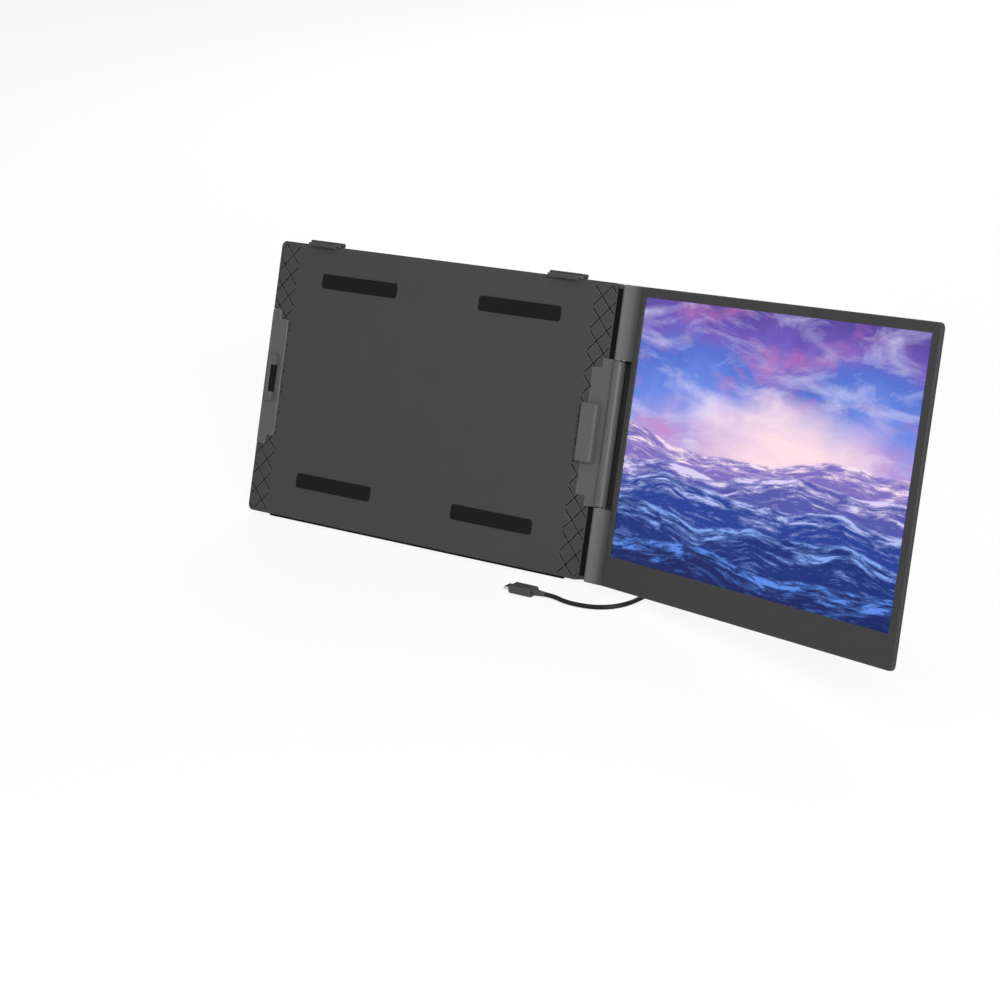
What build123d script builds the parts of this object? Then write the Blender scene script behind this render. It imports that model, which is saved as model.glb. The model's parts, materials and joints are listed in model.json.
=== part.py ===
from build123d import *
from math import acos, atan2, cos, degrees, hypot, pi, radians, sin, tan
import os

# A second screen for a laptop. A flat support frame hangs behind the laptop's lid and leans
# with it; a slim monitor is hinged to the frame's right arm and stands turned forward.
# Millimetres, +X to the user's right, +Y away from the user, +Z up, desk at z = 0.
# The origin is the middle of the flat under the frame's bottom foot.

# Stance
lean = 20.1                     # the frame leans back from upright, degrees
swing = 19.6                    # the monitor is turned forward of the frame, degrees

# Support frame
frame_w = 361.0
frame_h = 224.6
frame_t = 11.0
frame_corner = 5.0
front_t = 5.0                   # depth of the front plate, with its ribs
skin = 2.0                      # face of the front plate behind its cavities
rim = 4.5                       # solid edge left round the cavities
stiffener_t = 0.8
stiffener_inset = 4.5
seat_clear = 0.1                # clearance of the stiffener in the rear cover
cavity_corner = 2.0
through = 1.0                   # how far a cut goes past a face

# Laptop that the frame is set for
lid_in = 13.2                   # the lid's side edge, in from the frame's side
lid_gap = 4.4                   # room for the lid under the clips' lips

# Sliding arms
arm_t = 2.4                     # leaf and neck
tongue_t = 1.9
leaf_h = 111.0
neck_h = 95.8
tongue_h = 86.0
leaf_edge = 4.7                 # from the frame's side in to the right leaf's inner edge
neck_edge = 14.0                # and to the neck's and the tongue's inner edges
tongue_edge = 76.5
neck_root = 5.5                 # width of the step between neck and tongue
arm_gap = 0.2                   # clearance all round a sliding arm
left_push = 4.8                 # the left arm is pushed in by this much more
guide_t = 1.4
guide_len = 62.0
slot_room = 4.7                 # free length past the pushed-in tongue

# Clips
clip_h = 44.0
clip_below = 1.3                # the side clips' middle, below the arms' centre line
clip_w = 12.1
clip_lip_t = 1.2
clip_over = 3.0                 # reach of the right clip's lip over the lid
clip_round = 2.2
clip_pad_t = 0.4
clip_pad_end = 2.0              # from the clip's end to its pad
clip_pad_proud = 0.2
left_clip_h = 37.5
left_clip_rise = 3.4
left_clip_leg = 7.5
left_clip_spine = 2.6
left_clip_w = 7.8
left_clip_corner = 0.8
left_pad_back = 0.4             # the pad's face behind the fork's tips
left_pad_low = 1.0              # and its top below the fork's
top_clip_in = 51.5              # the top clip's middle, in from the frame's side
top_clip_w = 34.0
top_clip_gap = 0.1              # below the top clip, above the frame
top_clip_bar = 3.6              # height of the clip's bar
top_clip_front = 1.2            # the bar stands in front of the frame by this
top_clip_back = 5.0
top_clip_corner = 1.5
top_clip_lip_w = 30.0
top_clip_lip_t = 1.0
top_clip_lip_up = 1.4           # the lip's top above the bar's underside
top_clip_hook = 1.8             # the hook's reach down the front of the lid
tail_w = 21.6
tail_rib = 4.9                  # between a tail's channel and an arm's
tail_t = 1.9
tail_side = 0.3                 # clearance beside a clip's tail
spring_h = 11.0
spring_r = 0.9
spring_bore_r = 0.5

# Hinge between the right arm and the monitor
axis_out = 10.8                 # from the frame's side to the hinge axis
barrel_r = 4.6
barrel_edge = 1.0               # chamfer at the ends of the barrel
pin_r = 2.0
pin_grip = 24.0                 # length of each pin held in the arm's barrel
pin_short = 2.0                 # the pin ends this far inside its bracket's sleeve
pin_press = 0.02                # radial clearance of the fixed end
pin_run = 0.05                  # radial clearance of the turning fit
knuckle_gap = 0.4
knuckle_back = 8.0              # depth of a knuckle behind the bezel's face
knuckle_shoulder = (12.5, 2.6)  # where its front starts to round down, from the axis
knuckle_round = 14.0
knuckle_rise = 0.4              # its height over the bezel where they meet
knuckle_edge = 0.8              # chamfer at its outer end
knuckle_heel = 1.0              # the knuckle's rear corner, from the axis
heel_turn = 118.69              # where the barrel meets the knuckle's heel, degrees round it
sleeve_r = 3.2
bracket_t = 1.2
bracket_back = 6.5              # rear face of the bracket's leaf, behind the bezel's face
bracket_web = (1.4, 3.0)        # the web between sleeve and leaf, from the axis
bracket_end = 12.0              # from the monitor's edge to the bracket
bracket_reach = 44.0            # how far the bracket's leaf goes from the axis
bracket_screw_a = 30.0
bracket_screw_end = 10.0        # from the bracket's end to a screw
fit = 0.05                      # clearance of a part in its seat
edge_break = 0.5                # small chamfers and rounds

# Monitor
screen_w = 344.2                # active area, 15.6 inch, 16:9
screen_h = 193.6
screen_left = 23.1              # from the hinge axis to the picture
bezel_left = 6.9
bezel_right = 8.9
bezel_top = 7.4
chin = 23.0
monitor_foot = 0.4              # bottom edge above the frame's bottom edge
monitor_corner = 4.5
bezel_t = 2.8
bezel_lip = 0.9                 # the bezel's face over the glass
body_t = 8.5
taper_right = 10.0              # how far the rear edges slope in
taper_left = 1.5
taper_end = 8.0
shell = 1.5
panel_margin = 3.3              # glass beyond the active area at top and sides
panel_margin_low = 7.6
panel_t = 1.3
backlight_t = 2.2
tray_t = 0.5
tray_ledge = 4.1                # width of the ledge that the tray lies on
tray_ledge_left = 0.85
hinge_lip_in = -2.0             # edge of the cover's lip behind the arm's barrel
hinge_lip_back = 6.7

# Electronics box on the monitor's back
box_left = 36.0
box_w = 180.0
box_low = 58.0
box_h = 74.0
box_rise = 9.8
box_corner = 6.0
box_round = 2.0
board_edge = 8.0                # from the box's side to the board
board_low = 2.5                 # from the box's underside to the board
board_room = 30.0               # the board is lower than the box by this
board_t = 1.0
standoff_h = 2.0
standoff_r = 2.5
board_screw_in = 4.0            # from the board's side edge to a screw
board_screw_low = 11.5
board_screw_high = 3.5          # down from the board's upper edge
post_r = 2.6
post_in = 4.5                   # from the box's sides to a post's middle
usb_w = 8.94
usb_h = 3.2
usb_depth = 7.4
usb_wall = 0.3
usb_tongue_w = 6.69
usb_tongue_t = 0.7
usb_in = (14.0, 38.0)           # places of the sockets from the box's hinge side
hdmi_w = 11.2
hdmi_in = 64.0
port_gap = 0.15                 # clearance round sockets and buttons
button_in = {"plus": 80.0, "minus": 66.0, "menu": 52.0, "power": 30.0}   # from its far side
button_w = {"plus": 7.0, "minus": 7.0, "menu": 7.0, "power": 11.0}
button_h = 2.8
button_stand = 1.0              # how far a button stands out
button_stroke = 0.7
button_flange = 0.8
button_ear = 1.2                # the flange beyond the cap, at each side
switch_w = 6.0
switch_h = 3.8
switch_gap = 0.15
speaker_in = 14.0               # from the box's side to a speaker
speaker_w = 34.0
speaker_down = 24.0             # from the box's top to a speaker's lower edge
speaker_h = 15.0
speaker_t = 5.0
speaker_corner = 2.0
grille_slots = 7
grille_pitch = 4.0
grille_w = 1.6
grille_h = 9.0

# Kickstand
stand_side = 60.5               # from the frame's side to the kickstand's
stand_t = 3.0
stand_down = 48.6               # the pivot, below the frame's top edge
stand_end = 6.0                 # the kickstand is shorter than the pivot is high by this
stand_sunk = 0.3                # its rear face inside of the frame's
stand_recess = 3.6
stand_gap = 0.4
stand_low = 5.0                 # the recess starts this far up the frame
stand_pin_r = 0.9
stand_pin_len = 16.0
stand_foot_h = 9.0
stand_foot_in = 4.0
notch_r = 9.0
notch_s = 34.0

# Feet, pads and screws
foot_drop = 0.4                 # frame's lowest edge above the desk
foot_flat = 4.5
foot_behind = 0.4               # the frame's rear edge behind the foot
foot_in = 20.5                  # from the frame's side to the foot's end
pad_w = 84.0
pad_h = 12.0
pad_in = 94.5                   # a pad's middle, in from the frame's side
pad_low = 32.0
pad_down = 28.6                 # the upper pads' middle, below the frame's top edge
pad_corner = 3.0
pad_depth = 0.5
pad_proud = 0.5
screw_r = 0.95
screw_head_r = 1.9
screw_head_h = 1.2
screw_clear = 0.1
screw_bite = 2.2
screw_cross_w = 2.4
screw_cross_t = 0.6
screw_cross_depth = 0.5
tip_room = 0.1                  # free depth past a screw's tip
head_sunk = 0.4                 # the frame screws' heads below the rear face
screw_in = 12.5                 # from the frame's side to a screw
screw_end = 10.3                # from the frame's lower and upper edge to a screw
screw_past = 6.5                # from a leaf's end to a screw
screw_mid_in = 92.5
screw_land = 6.0                # left whole beside a screw
cell_count = 3                  # cavities behind the front plate, each way
cell_edge = 15.5                # from an arm's channel to the cavities
cell_end = 16.3                 # from the frame's lower and upper edge to the cavities
cell_rib_x = 4.0
cell_rib_s = 6.0

# Surface pattern of crossing lines on the frame's side bands
lattice_pitch = 17.0
lattice_in = 6.3                # the lines cross this far in from the frame's side
lattice_down = 36.3             # and this far below its top edge
lattice_len = 60.0
lattice_side = 1.2              # plain margins at the frame's side and ends
lattice_end = 2.0
lattice_w = 1.1
lattice_depth = 0.4
band_w = 22.5

# Lead
cord_d = 3.6
plug_w = 12.0
plug_t = 6.4
plug_l = 20.0
plug_round = 2.6
nose_w = 8.25
nose_t = 2.4
nose_l = 6.3
nose_wall = 0.5
relief_l = 12.0
relief_r = 2.8
plug_stand = 0.3                # the plug's gap to the box, and the loose plug's to the desk
loose_plug_in = 47.3            # front face of the loose plug's moulding, in from the hinge axis
loose_plug_y = -40.4
cord_lead = 10.0                # straight run into the plug in the box
cord_points = [                 # x from the hinge axis, y and z
    (-7.3, -40.4, 3.5),
    (3.2, -41.8, 2.1),
    (15.2, -42.5, 2.0),
    (27.7, -41.3, 2.0),
    (37.9, -37.5, 2.0),
    (45.7, -30.8, 2.0),
    (50.1, -21.5, 2.0),
    (51.1, -10.0, 2.0),
    (51.7, 2.0, 2.0),
    (55.2, 14.5, 2.0),
    (63.2, 25.0, 2.0),
    (75.7, 29.5, 2.0),
    (87.7, 24.0, 2.0),
    (92.7, 11.5, 2.0),
    (88.7, 0.0, 2.6),
    (81.2, -8.5, 6.5),
    (75.7, -13.5, 13.5),
]

# Worked out from the values above
ball = radians(lean)
turn = radians(swing)
half_w = frame_w / 2
mid_s = frame_h / 2             # height of the arms' centre line up the frame
axis_x = half_w + axis_out
foot_rear_y = foot_flat / 2 + foot_behind
frame_plane = Plane(
    origin=(0, foot_rear_y - frame_t * cos(ball), foot_drop + frame_t * sin(ball)),
    x_dir=(1, 0, 0),
    z_dir=(0, -cos(ball), sin(ball)),
)
monitor_plane = Plane(
    origin=frame_plane.from_local_coords(Vector(axis_x, 0, 0)),
    x_dir=(cos(turn), -sin(turn) * cos(ball), sin(turn) * sin(ball)),
    z_dir=(-sin(turn), -cos(turn) * cos(ball), cos(turn) * sin(ball)),
)
os.makedirs("parts", exist_ok=True)


def around(middle, size):
    """The two ends of a length that is centred on middle."""
    return (middle - size / 2, middle + size / 2)


def span(side, low, high):
    """A span of x on the right side, or its mirror image on the left."""
    return (low, high) if side > 0 else (-high, -low)


def grown(ends, by):
    """A span that is longer by that much at both ends."""
    return (ends[0] - by, ends[1] + by)


def section(plane, height):
    """The plane across a part at that height, whose own axes are the part's x and z."""
    return Plane(
        origin=plane.from_local_coords(Vector(0, height, 0)), x_dir=plane.x_dir, z_dir=-plane.y_dir
    )


def block(plane, x, y, z, mode=Mode.ADD, corner=0.0):
    """A box between those ends along the plane's axes, with upright edges rounded by corner."""
    with BuildSketch(plane.offset(z[0])) as outline:
        with Locations(((x[0] + x[1]) / 2, (y[0] + y[1]) / 2)):
            if corner:
                RectangleRounded(x[1] - x[0], y[1] - y[0], corner)
            else:
                Rectangle(x[1] - x[0], y[1] - y[0])
    extrude(outline.sketch, amount=z[1] - z[0], mode=mode)


def prism(plane, points, y, mode=Mode.ADD):
    """A bar along the plane's y axis, with its outline given as points of x and z."""
    with BuildSketch(section(plane, y[1])) as outline:
        with BuildLine():
            Polyline(*points, close=True)
        make_face()
    extrude(outline.sketch, amount=y[1] - y[0], mode=mode)


def post(plane, x, z, y, radius, mode=Mode.ADD):
    """A round bar along the plane's y axis."""
    with BuildSketch(section(plane, y[1])) as outline:
        with Locations((x, z)):
            Circle(radius)
    extrude(outline.sketch, amount=y[1] - y[0], mode=mode)


def stud(plane, x, y, z, radius, mode=Mode.ADD):
    """A round bar along the plane's normal."""
    with BuildSketch(plane.offset(z[0])) as outline:
        with Locations((x, y)):
            Circle(radius)
    extrude(outline.sketch, amount=z[1] - z[0], mode=mode)


def stadium(plane, x, z, y, width, height, mode=Mode.ADD):
    """A bar along the plane's y axis with round short sides, as a small plug or socket has."""
    with BuildSketch(section(plane, y[1])) as outline:
        with Locations((x, z)):
            SlotOverall(width, height)
    extrude(outline.sketch, amount=y[1] - y[0], mode=mode)


def screw(plane, x, y, z_head, z_tip):
    """A flat-headed screw driven along the plane's normal from its head at z_head."""
    stud(plane, x, y, (z_head, z_head + screw_head_h), screw_head_r)
    stud(plane, x, y, (z_head + screw_head_h, z_tip), screw_r)
    cross_z = (z_head - through, z_head + screw_cross_depth)
    block(plane, around(x, screw_cross_w), around(y, screw_cross_t), cross_z, Mode.SUBTRACT)
    block(plane, around(x, screw_cross_t), around(y, screw_cross_w), cross_z, Mode.SUBTRACT)


# ------------------------------------------------------------------ support frame
lid_edge = half_w - lid_in
leaf_in = half_w - leaf_edge
neck_in = half_w - neck_edge
tongue_in = half_w - tongue_edge
barrel_span = around(mid_s, leaf_h)
pocket_t = arm_t + arm_gap
slot_in = tongue_in - left_push - slot_room
slot_h = tongue_h + 2 * (guide_t + arm_gap)
top_clip_x = half_w - top_clip_in
tail_top = frame_h + top_clip_gap
tail_slot_low = mid_s + slot_h / 2 + tail_rib
tail_low = tail_slot_low + arm_gap + spring_h
screw_x = half_w - screw_in
screw_rows = grown((0, frame_h), -screw_end) + grown(barrel_span, screw_past)
screw_spots = [(side * screw_x, s) for side in (-1, 1) for s in screw_rows]
screw_spots += [(side * (half_w - screw_mid_in), frame_h - screw_end) for side in (-1, 1)]
pad_spots = [(side * (half_w - pad_in), s) for side in (-1, 1) for s in (pad_low, frame_h - pad_down)]
cell_w = (2 * (slot_in - cell_edge) - (cell_count - 1) * cell_rib_x) / cell_count
cell_h = (frame_h - 2 * cell_end - (cell_count - 1) * cell_rib_s) / cell_count
cover_floor = -front_t - stiffener_t - seat_clear
head_seat = -frame_t + screw_head_h + head_sunk
band_in = half_w - band_w
lattice_s = frame_h - lattice_down
lattice_rows = range(-int(lattice_s / lattice_pitch) - 1, int(lattice_down / lattice_pitch) + 2)

with BuildPart() as frame_front_plate:
    block(frame_plane, around(0, frame_w), (0, frame_h), (-front_t, 0), corner=frame_corner)
    front_point = frame_plane.from_local_coords(Vector(0, frame_h / 2, 0))
    chamfer(frame_front_plate.faces().sort_by_distance(front_point)[0].edges(), length=edge_break)
    for side, push in ((-1, left_push), (1, 0)):
        leaf_x = span(side, leaf_in - push - arm_gap, half_w + through)
        block(frame_plane, leaf_x, grown(barrel_span, arm_gap), (-pocket_t, through), Mode.SUBTRACT)
        neck_x = span(side, neck_in - push - arm_gap, half_w + through)
        neck_y = around(mid_s, neck_h + 2 * arm_gap)
        block(frame_plane, neck_x, neck_y, (-pocket_t, through), Mode.SUBTRACT)
        slot_x = span(side, slot_in, half_w + through)
        block(frame_plane, slot_x, around(mid_s, slot_h), (-front_t - through, -pocket_t), Mode.SUBTRACT)
        tail_x = around(side * top_clip_x, tail_w + 2 * tail_side)
        tail_y = (tail_slot_low, frame_h + through)
        block(frame_plane, tail_x, tail_y, (-front_t - through, -pocket_t), Mode.SUBTRACT)
        low_x = span(side, slot_in + rim, screw_x - screw_land)
        low_y = (2 * rim, mid_s - slot_h / 2 - rim)
        block(frame_plane, low_x, low_y, (-front_t - through, -skin), Mode.SUBTRACT, cavity_corner)
    for column in range(cell_count):
        for row in range(cell_count):
            cell_x = around((column - (cell_count - 1) / 2) * (cell_w + cell_rib_x), cell_w)
            cell_y = around(cell_end + cell_h / 2 + row * (cell_h + cell_rib_s), cell_h)
            block(frame_plane, cell_x, cell_y, (-front_t - through, -skin), Mode.SUBTRACT, cavity_corner)
    for x, s in pad_spots:
        block(frame_plane, around(x, pad_w), around(s, pad_h), (-pad_depth, through), Mode.SUBTRACT, pad_corner)
    for x, s in screw_spots:
        depth = (-front_t - through, -front_t + screw_bite + tip_room)
        stud(frame_plane, x, s, depth, screw_r + fit, Mode.SUBTRACT)
    for side in (-1, 1):
        with BuildSketch(frame_plane.offset(-lattice_depth)) as lattice:
            for row in lattice_rows:
                with Locations((side * (half_w - lattice_in), lattice_s + row * lattice_pitch)):
                    Rectangle(lattice_len, lattice_w, rotation=45)
                    Rectangle(lattice_len, lattice_w, rotation=-45)
            with Locations((side * (band_in + half_w - lattice_side) / 2, frame_h / 2)):
                Rectangle(band_w - lattice_side, frame_h - 2 * lattice_end, mode=Mode.INTERSECT)
        extrude(amount=lattice_depth + through, mode=Mode.SUBTRACT)
frame_front_plate.part.label = "frame_front_plate"
export_step(frame_front_plate.part, "parts/frame_front_plate.step")

with BuildPart() as frame_stiffener:
    stiffener_x = around(0, frame_w - 2 * stiffener_inset)
    stiffener_y = (stiffener_inset, frame_h - stiffener_inset)
    block(frame_plane, stiffener_x, stiffener_y, (-front_t - stiffener_t, -front_t), corner=cavity_corner)
    for x, s in screw_spots:
        stud(frame_plane, x, s, (-frame_t, through), screw_r + screw_clear, Mode.SUBTRACT)
frame_stiffener.part.label = "frame_stiffener"
export_step(frame_stiffener.part, "parts/frame_stiffener.step")

stand_w = frame_w - 2 * stand_side
stand_pivot_s = frame_h - stand_down
stand_len = stand_pivot_s - stand_end
stand_n = -frame_t + stand_sunk + stand_t / 2           # the pivot's depth behind the frame's face
recess_floor = -frame_t + stand_recess
recess_top = stand_pivot_s + stand_t / 2 + stand_gap
with BuildPart() as frame_rear_cover:
    block(frame_plane, around(0, frame_w), (0, frame_h), (-frame_t, -front_t), corner=frame_corner)
    rear_point = frame_plane.from_local_coords(Vector(0, frame_h / 2, -frame_t))
    chamfer(frame_rear_cover.faces().sort_by_distance(rear_point)[0].edges(), length=2 * edge_break)
    seat_x = around(0, frame_w - 2 * stiffener_inset + 2 * seat_clear)
    seat_y = (stiffener_inset - seat_clear, frame_h - stiffener_inset + seat_clear)
    block(frame_plane, seat_x, seat_y, (cover_floor, through), Mode.SUBTRACT, cavity_corner)
    stand_x = around(0, stand_w + 2 * stand_gap)
    block(frame_plane, stand_x, (stand_low, recess_top), (-frame_t - through, recess_floor), Mode.SUBTRACT)
    for side in (-1, 1):
        edge_x = side * (stand_w / 2 + stand_gap)
        stud(frame_plane, edge_x, notch_s, (-frame_t - through, recess_floor), notch_r, Mode.SUBTRACT)
        pin_x = span(side, stand_w / 2, stand_w / 2 + stand_pin_len / 2 + fit)
        with BuildSketch(Plane.YZ.offset(pin_x[0])) as bore:
            pivot = frame_plane.from_local_coords(Vector(0, stand_pivot_s, stand_n))
            with Locations((pivot.Y, pivot.Z)):
                Circle(stand_pin_r + pin_press)
        extrude(amount=pin_x[1] - pin_x[0], mode=Mode.SUBTRACT)
    for x, s in screw_spots:
        stud(frame_plane, x, s, (-frame_t - through, head_seat), screw_head_r + screw_clear, Mode.SUBTRACT)
        stud(frame_plane, x, s, (-frame_t - through, through), screw_r + screw_clear, Mode.SUBTRACT)
frame_rear_cover.part.label = "frame_rear_cover"
export_step(frame_rear_cover.part, "parts/frame_rear_cover.step")

with BuildPart() as frame_screws:
    for x, s in screw_spots:
        screw(frame_plane, x, s, head_seat - screw_head_h, -front_t + screw_bite)
frame_screws.part.label = "frame_screws"
export_step(frame_screws.part, "parts/frame_screws.step")

with BuildPart() as grip_pads:
    for x, s in pad_spots:
        pad_z = (-pad_depth, pad_proud)
        block(frame_plane, around(x, pad_w - fit), around(s, pad_h - fit), pad_z, corner=pad_corner)
grip_pads.part.label = "grip_pads"
export_step(grip_pads.part, "parts/grip_pads.step")

foot_len = frame_w - 2 * foot_in
with BuildPart() as bottom_foot:
    with BuildSketch(Plane.YZ.offset(-foot_len / 2)):
        with BuildLine():
            foot_front = (-foot_flat / 2, foot_drop + (foot_rear_y + foot_flat / 2) * tan(ball))
            foot_back = (foot_flat / 2, foot_drop + foot_behind * tan(ball))
            Polyline((-foot_flat / 2, 0), (foot_flat / 2, 0), foot_back, foot_front, close=True)
        make_face()
    extrude(amount=foot_len)
bottom_foot.part.label = "bottom_foot"
export_step(bottom_foot.part, "parts/bottom_foot.step")


def arm_guides(side):
    """Two strips that a tongue slides between."""
    guide_x = span(side, slot_in, slot_in + guide_len)
    for edge in (-1, 1):
        middle = mid_s + edge * (slot_h - guide_t) / 2
        block(frame_plane, guide_x, around(middle, guide_t), (-front_t, -pocket_t))


with BuildPart() as right_arm_guides:
    arm_guides(1)
right_arm_guides.part.label = "right_arm_guides"
export_step(right_arm_guides.part, "parts/right_arm_guides.step")

with BuildPart() as left_arm_guides:
    arm_guides(-1)
left_arm_guides.part.label = "left_arm_guides"
export_step(left_arm_guides.part, "parts/left_arm_guides.step")

# ------------------------------------------------------------------ sliding arms
tongue_low = -front_t + arm_gap


def arm_plate(side, push, outer):
    """Leaf, neck and tongue of an arm that is pushed in by push."""
    leaf = leaf_in - push
    neck = neck_in - push
    block(frame_plane, span(side, leaf, outer), barrel_span, (-arm_t, 0))
    block(frame_plane, span(side, neck, leaf), around(mid_s, neck_h), (-arm_t, 0))
    block(frame_plane, span(side, neck, neck + neck_root), around(mid_s, tongue_h), (tongue_low, -arm_t))
    tongue_x = span(side, tongue_in - push, neck + neck_root)
    block(frame_plane, tongue_x, around(mid_s, tongue_h), (tongue_low, tongue_low + tongue_t))


with BuildPart() as right_arm_plate:
    post(frame_plane, axis_x, 0, barrel_span, barrel_r)
    ends = right_arm_plate.faces().filter_by(GeomType.PLANE).edges()
    chamfer(ends, length=barrel_edge)
    arm_plate(1, 0, axis_x)
    for end in (-1, 1):
        grip = span(end, leaf_h / 2 - pin_grip, leaf_h / 2 + through)
        bore = (mid_s + grip[0], mid_s + grip[1])
        post(frame_plane, axis_x, 0, bore, pin_r + pin_press, Mode.SUBTRACT)
right_arm_plate.part.label = "right_arm_plate"
export_step(right_arm_plate.part, "parts/right_arm_plate.step")

with BuildPart() as left_arm_plate:
    arm_plate(-1, left_push, half_w - arm_gap)
left_arm_plate.part.label = "left_arm_plate"
export_step(left_arm_plate.part, "parts/left_arm_plate.step")

body_s = (monitor_foot, monitor_foot + chin + screen_h + bezel_top)
upper_knuckle_span = (barrel_span[1] + knuckle_gap, body_s[1])
lower_knuckle_span = (body_s[0], barrel_span[0] - knuckle_gap)
upper_bracket_span = (upper_knuckle_span[0], body_s[1] - bracket_end)
lower_bracket_span = (body_s[0] + bracket_end, lower_knuckle_span[1])
with BuildPart() as hinge_pins:
    post(frame_plane, axis_x, 0, (barrel_span[1] - pin_grip, upper_bracket_span[1] - pin_short), pin_r)
    post(frame_plane, axis_x, 0, (lower_bracket_span[0] + pin_short, barrel_span[0] + pin_grip), pin_r)
hinge_pins.part.label = "hinge_pins"
export_step(hinge_pins.part, "parts/hinge_pins.step")

# ------------------------------------------------------------------ clips
clip_face = lid_gap + clip_lip_t
clip_s = mid_s - clip_below
clip_pad_span = around(clip_s, clip_h - 2 * clip_pad_end)
with BuildPart() as right_clip:
    clip_out = lid_edge + clip_w
    clip_outline = [
        (lid_edge, 0),
        (clip_out, 0),
        (clip_out, clip_face),
        (lid_edge - clip_over, clip_face),
        (lid_edge - clip_over, lid_gap),
        (lid_edge, lid_gap),
    ]
    prism(frame_plane, clip_outline, around(clip_s, clip_h))
    long_edges = right_clip.edges().filter_by(Axis(frame_plane.origin, frame_plane.y_dir))
    outer_corner = frame_plane.from_local_coords(Vector(clip_out, clip_s, clip_face))
    fillet(long_edges.sort_by_distance(outer_corner)[0], radius=clip_round)
    inner_corner = frame_plane.from_local_coords(Vector(lid_edge - clip_over, clip_s, clip_face))
    long_edges = right_clip.edges().filter_by(Axis(frame_plane.origin, frame_plane.y_dir))
    fillet(long_edges.sort_by_distance(inner_corner)[0], radius=clip_lip_t / 2)
    seat_x = (lid_edge - through, lid_edge + clip_pad_t)
    block(frame_plane, seat_x, clip_pad_span, (clip_pad_t, lid_gap - clip_pad_t), Mode.SUBTRACT)
right_clip.part.label = "right_clip"
export_step(right_clip.part, "parts/right_clip.step")

with BuildPart() as right_clip_pad:
    pad_x = (lid_edge - clip_pad_proud, lid_edge + clip_pad_t)
    block(frame_plane, pad_x, clip_pad_span, (clip_pad_t, lid_gap - clip_pad_t))
right_clip_pad.part.label = "right_clip_pad"
export_step(right_clip_pad.part, "parts/right_clip_pad.step")

left_legs_x = (-lid_edge - left_clip_w, -lid_edge)
with BuildPart() as left_clip:
    block(frame_plane, left_legs_x, around(clip_s, left_clip_h), (0, left_clip_rise), corner=left_clip_corner)
    left_slot_x = (-lid_edge - left_clip_w + left_clip_spine, -lid_edge + through)
    left_slot_y = around(clip_s, left_clip_h - 2 * left_clip_leg)
    block(frame_plane, left_slot_x, left_slot_y, (-through, left_clip_rise + through), Mode.SUBTRACT)
left_clip.part.label = "left_clip"
export_step(left_clip.part, "parts/left_clip.step")

with BuildPart() as left_clip_pad:
    pad_x = (left_slot_x[0], -lid_edge - left_pad_back)
    block(frame_plane, pad_x, left_slot_y, (0, left_clip_rise - left_pad_low))
left_clip_pad.part.label = "left_clip_pad"
export_step(left_clip_pad.part, "parts/left_clip_pad.step")

bar_span = (tail_top, tail_top + top_clip_bar)
tail_n = (-front_t + arm_gap, -front_t + arm_gap + tail_t)


def top_clip(x):
    """A spring clip over the top edge of the lid: bar, hooked lip and a tail in its channel."""
    bar_n = (-top_clip_back, top_clip_front)
    block(frame_plane, around(x, top_clip_w), bar_span, bar_n, corner=top_clip_corner)
    lip_top = tail_top + top_clip_lip_up
    lip_n = (top_clip_front, clip_face)
    block(frame_plane, around(x, top_clip_lip_w), (lip_top - top_clip_lip_t, lip_top), lip_n)
    hook_n = (clip_face - top_clip_lip_t, clip_face)
    hook_y = (lip_top - top_clip_lip_t - top_clip_hook, lip_top)
    block(frame_plane, around(x, top_clip_lip_w), hook_y, hook_n)
    block(frame_plane, around(x, tail_w), (tail_low, bar_span[0] + through), tail_n)


with BuildPart() as top_clip_right:
    top_clip(top_clip_x)
top_clip_right.part.label = "top_clip_right"
export_step(top_clip_right.part, "parts/top_clip_right.step")

with BuildPart() as top_clip_left:
    top_clip(-top_clip_x)
top_clip_left.part.label = "top_clip_left"
export_step(top_clip_left.part, "parts/top_clip_left.step")


def clip_springs(x):
    """Two springs that draw a top clip down."""
    spring_n = (tail_n[0] + tail_n[1]) / 2
    for edge in (-1, 1):
        spring_x = x + edge * tail_w / 4
        post(frame_plane, spring_x, spring_n, (tail_low - spring_h, tail_low), spring_r)
        post(frame_plane, spring_x, spring_n, (tail_low - spring_h, tail_low), spring_bore_r, Mode.SUBTRACT)


with BuildPart() as clip_springs_right:
    clip_springs(top_clip_x)
clip_springs_right.part.label = "clip_springs_right"
export_step(clip_springs_right.part, "parts/clip_springs_right.step")

with BuildPart() as clip_springs_left:
    clip_springs(-top_clip_x)
clip_springs_left.part.label = "clip_springs_left"
export_step(clip_springs_left.part, "parts/clip_springs_left.step")

# ------------------------------------------------------------------ kickstand
pivot = frame_plane.from_local_coords(Vector(0, stand_pivot_s, stand_n))
stand_angle = acos(pivot.Z / stand_len)                 # behind upright
stand_plane = Plane(
    origin=pivot, x_dir=(1, 0, 0), z_dir=(0, -cos(stand_angle), -sin(stand_angle))
)
print("kickstand opens", round(lean + degrees(stand_angle), 3), "degrees about", pivot)
stand_half = stand_w / 2
foot_top = -stand_len + stand_foot_h

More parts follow.
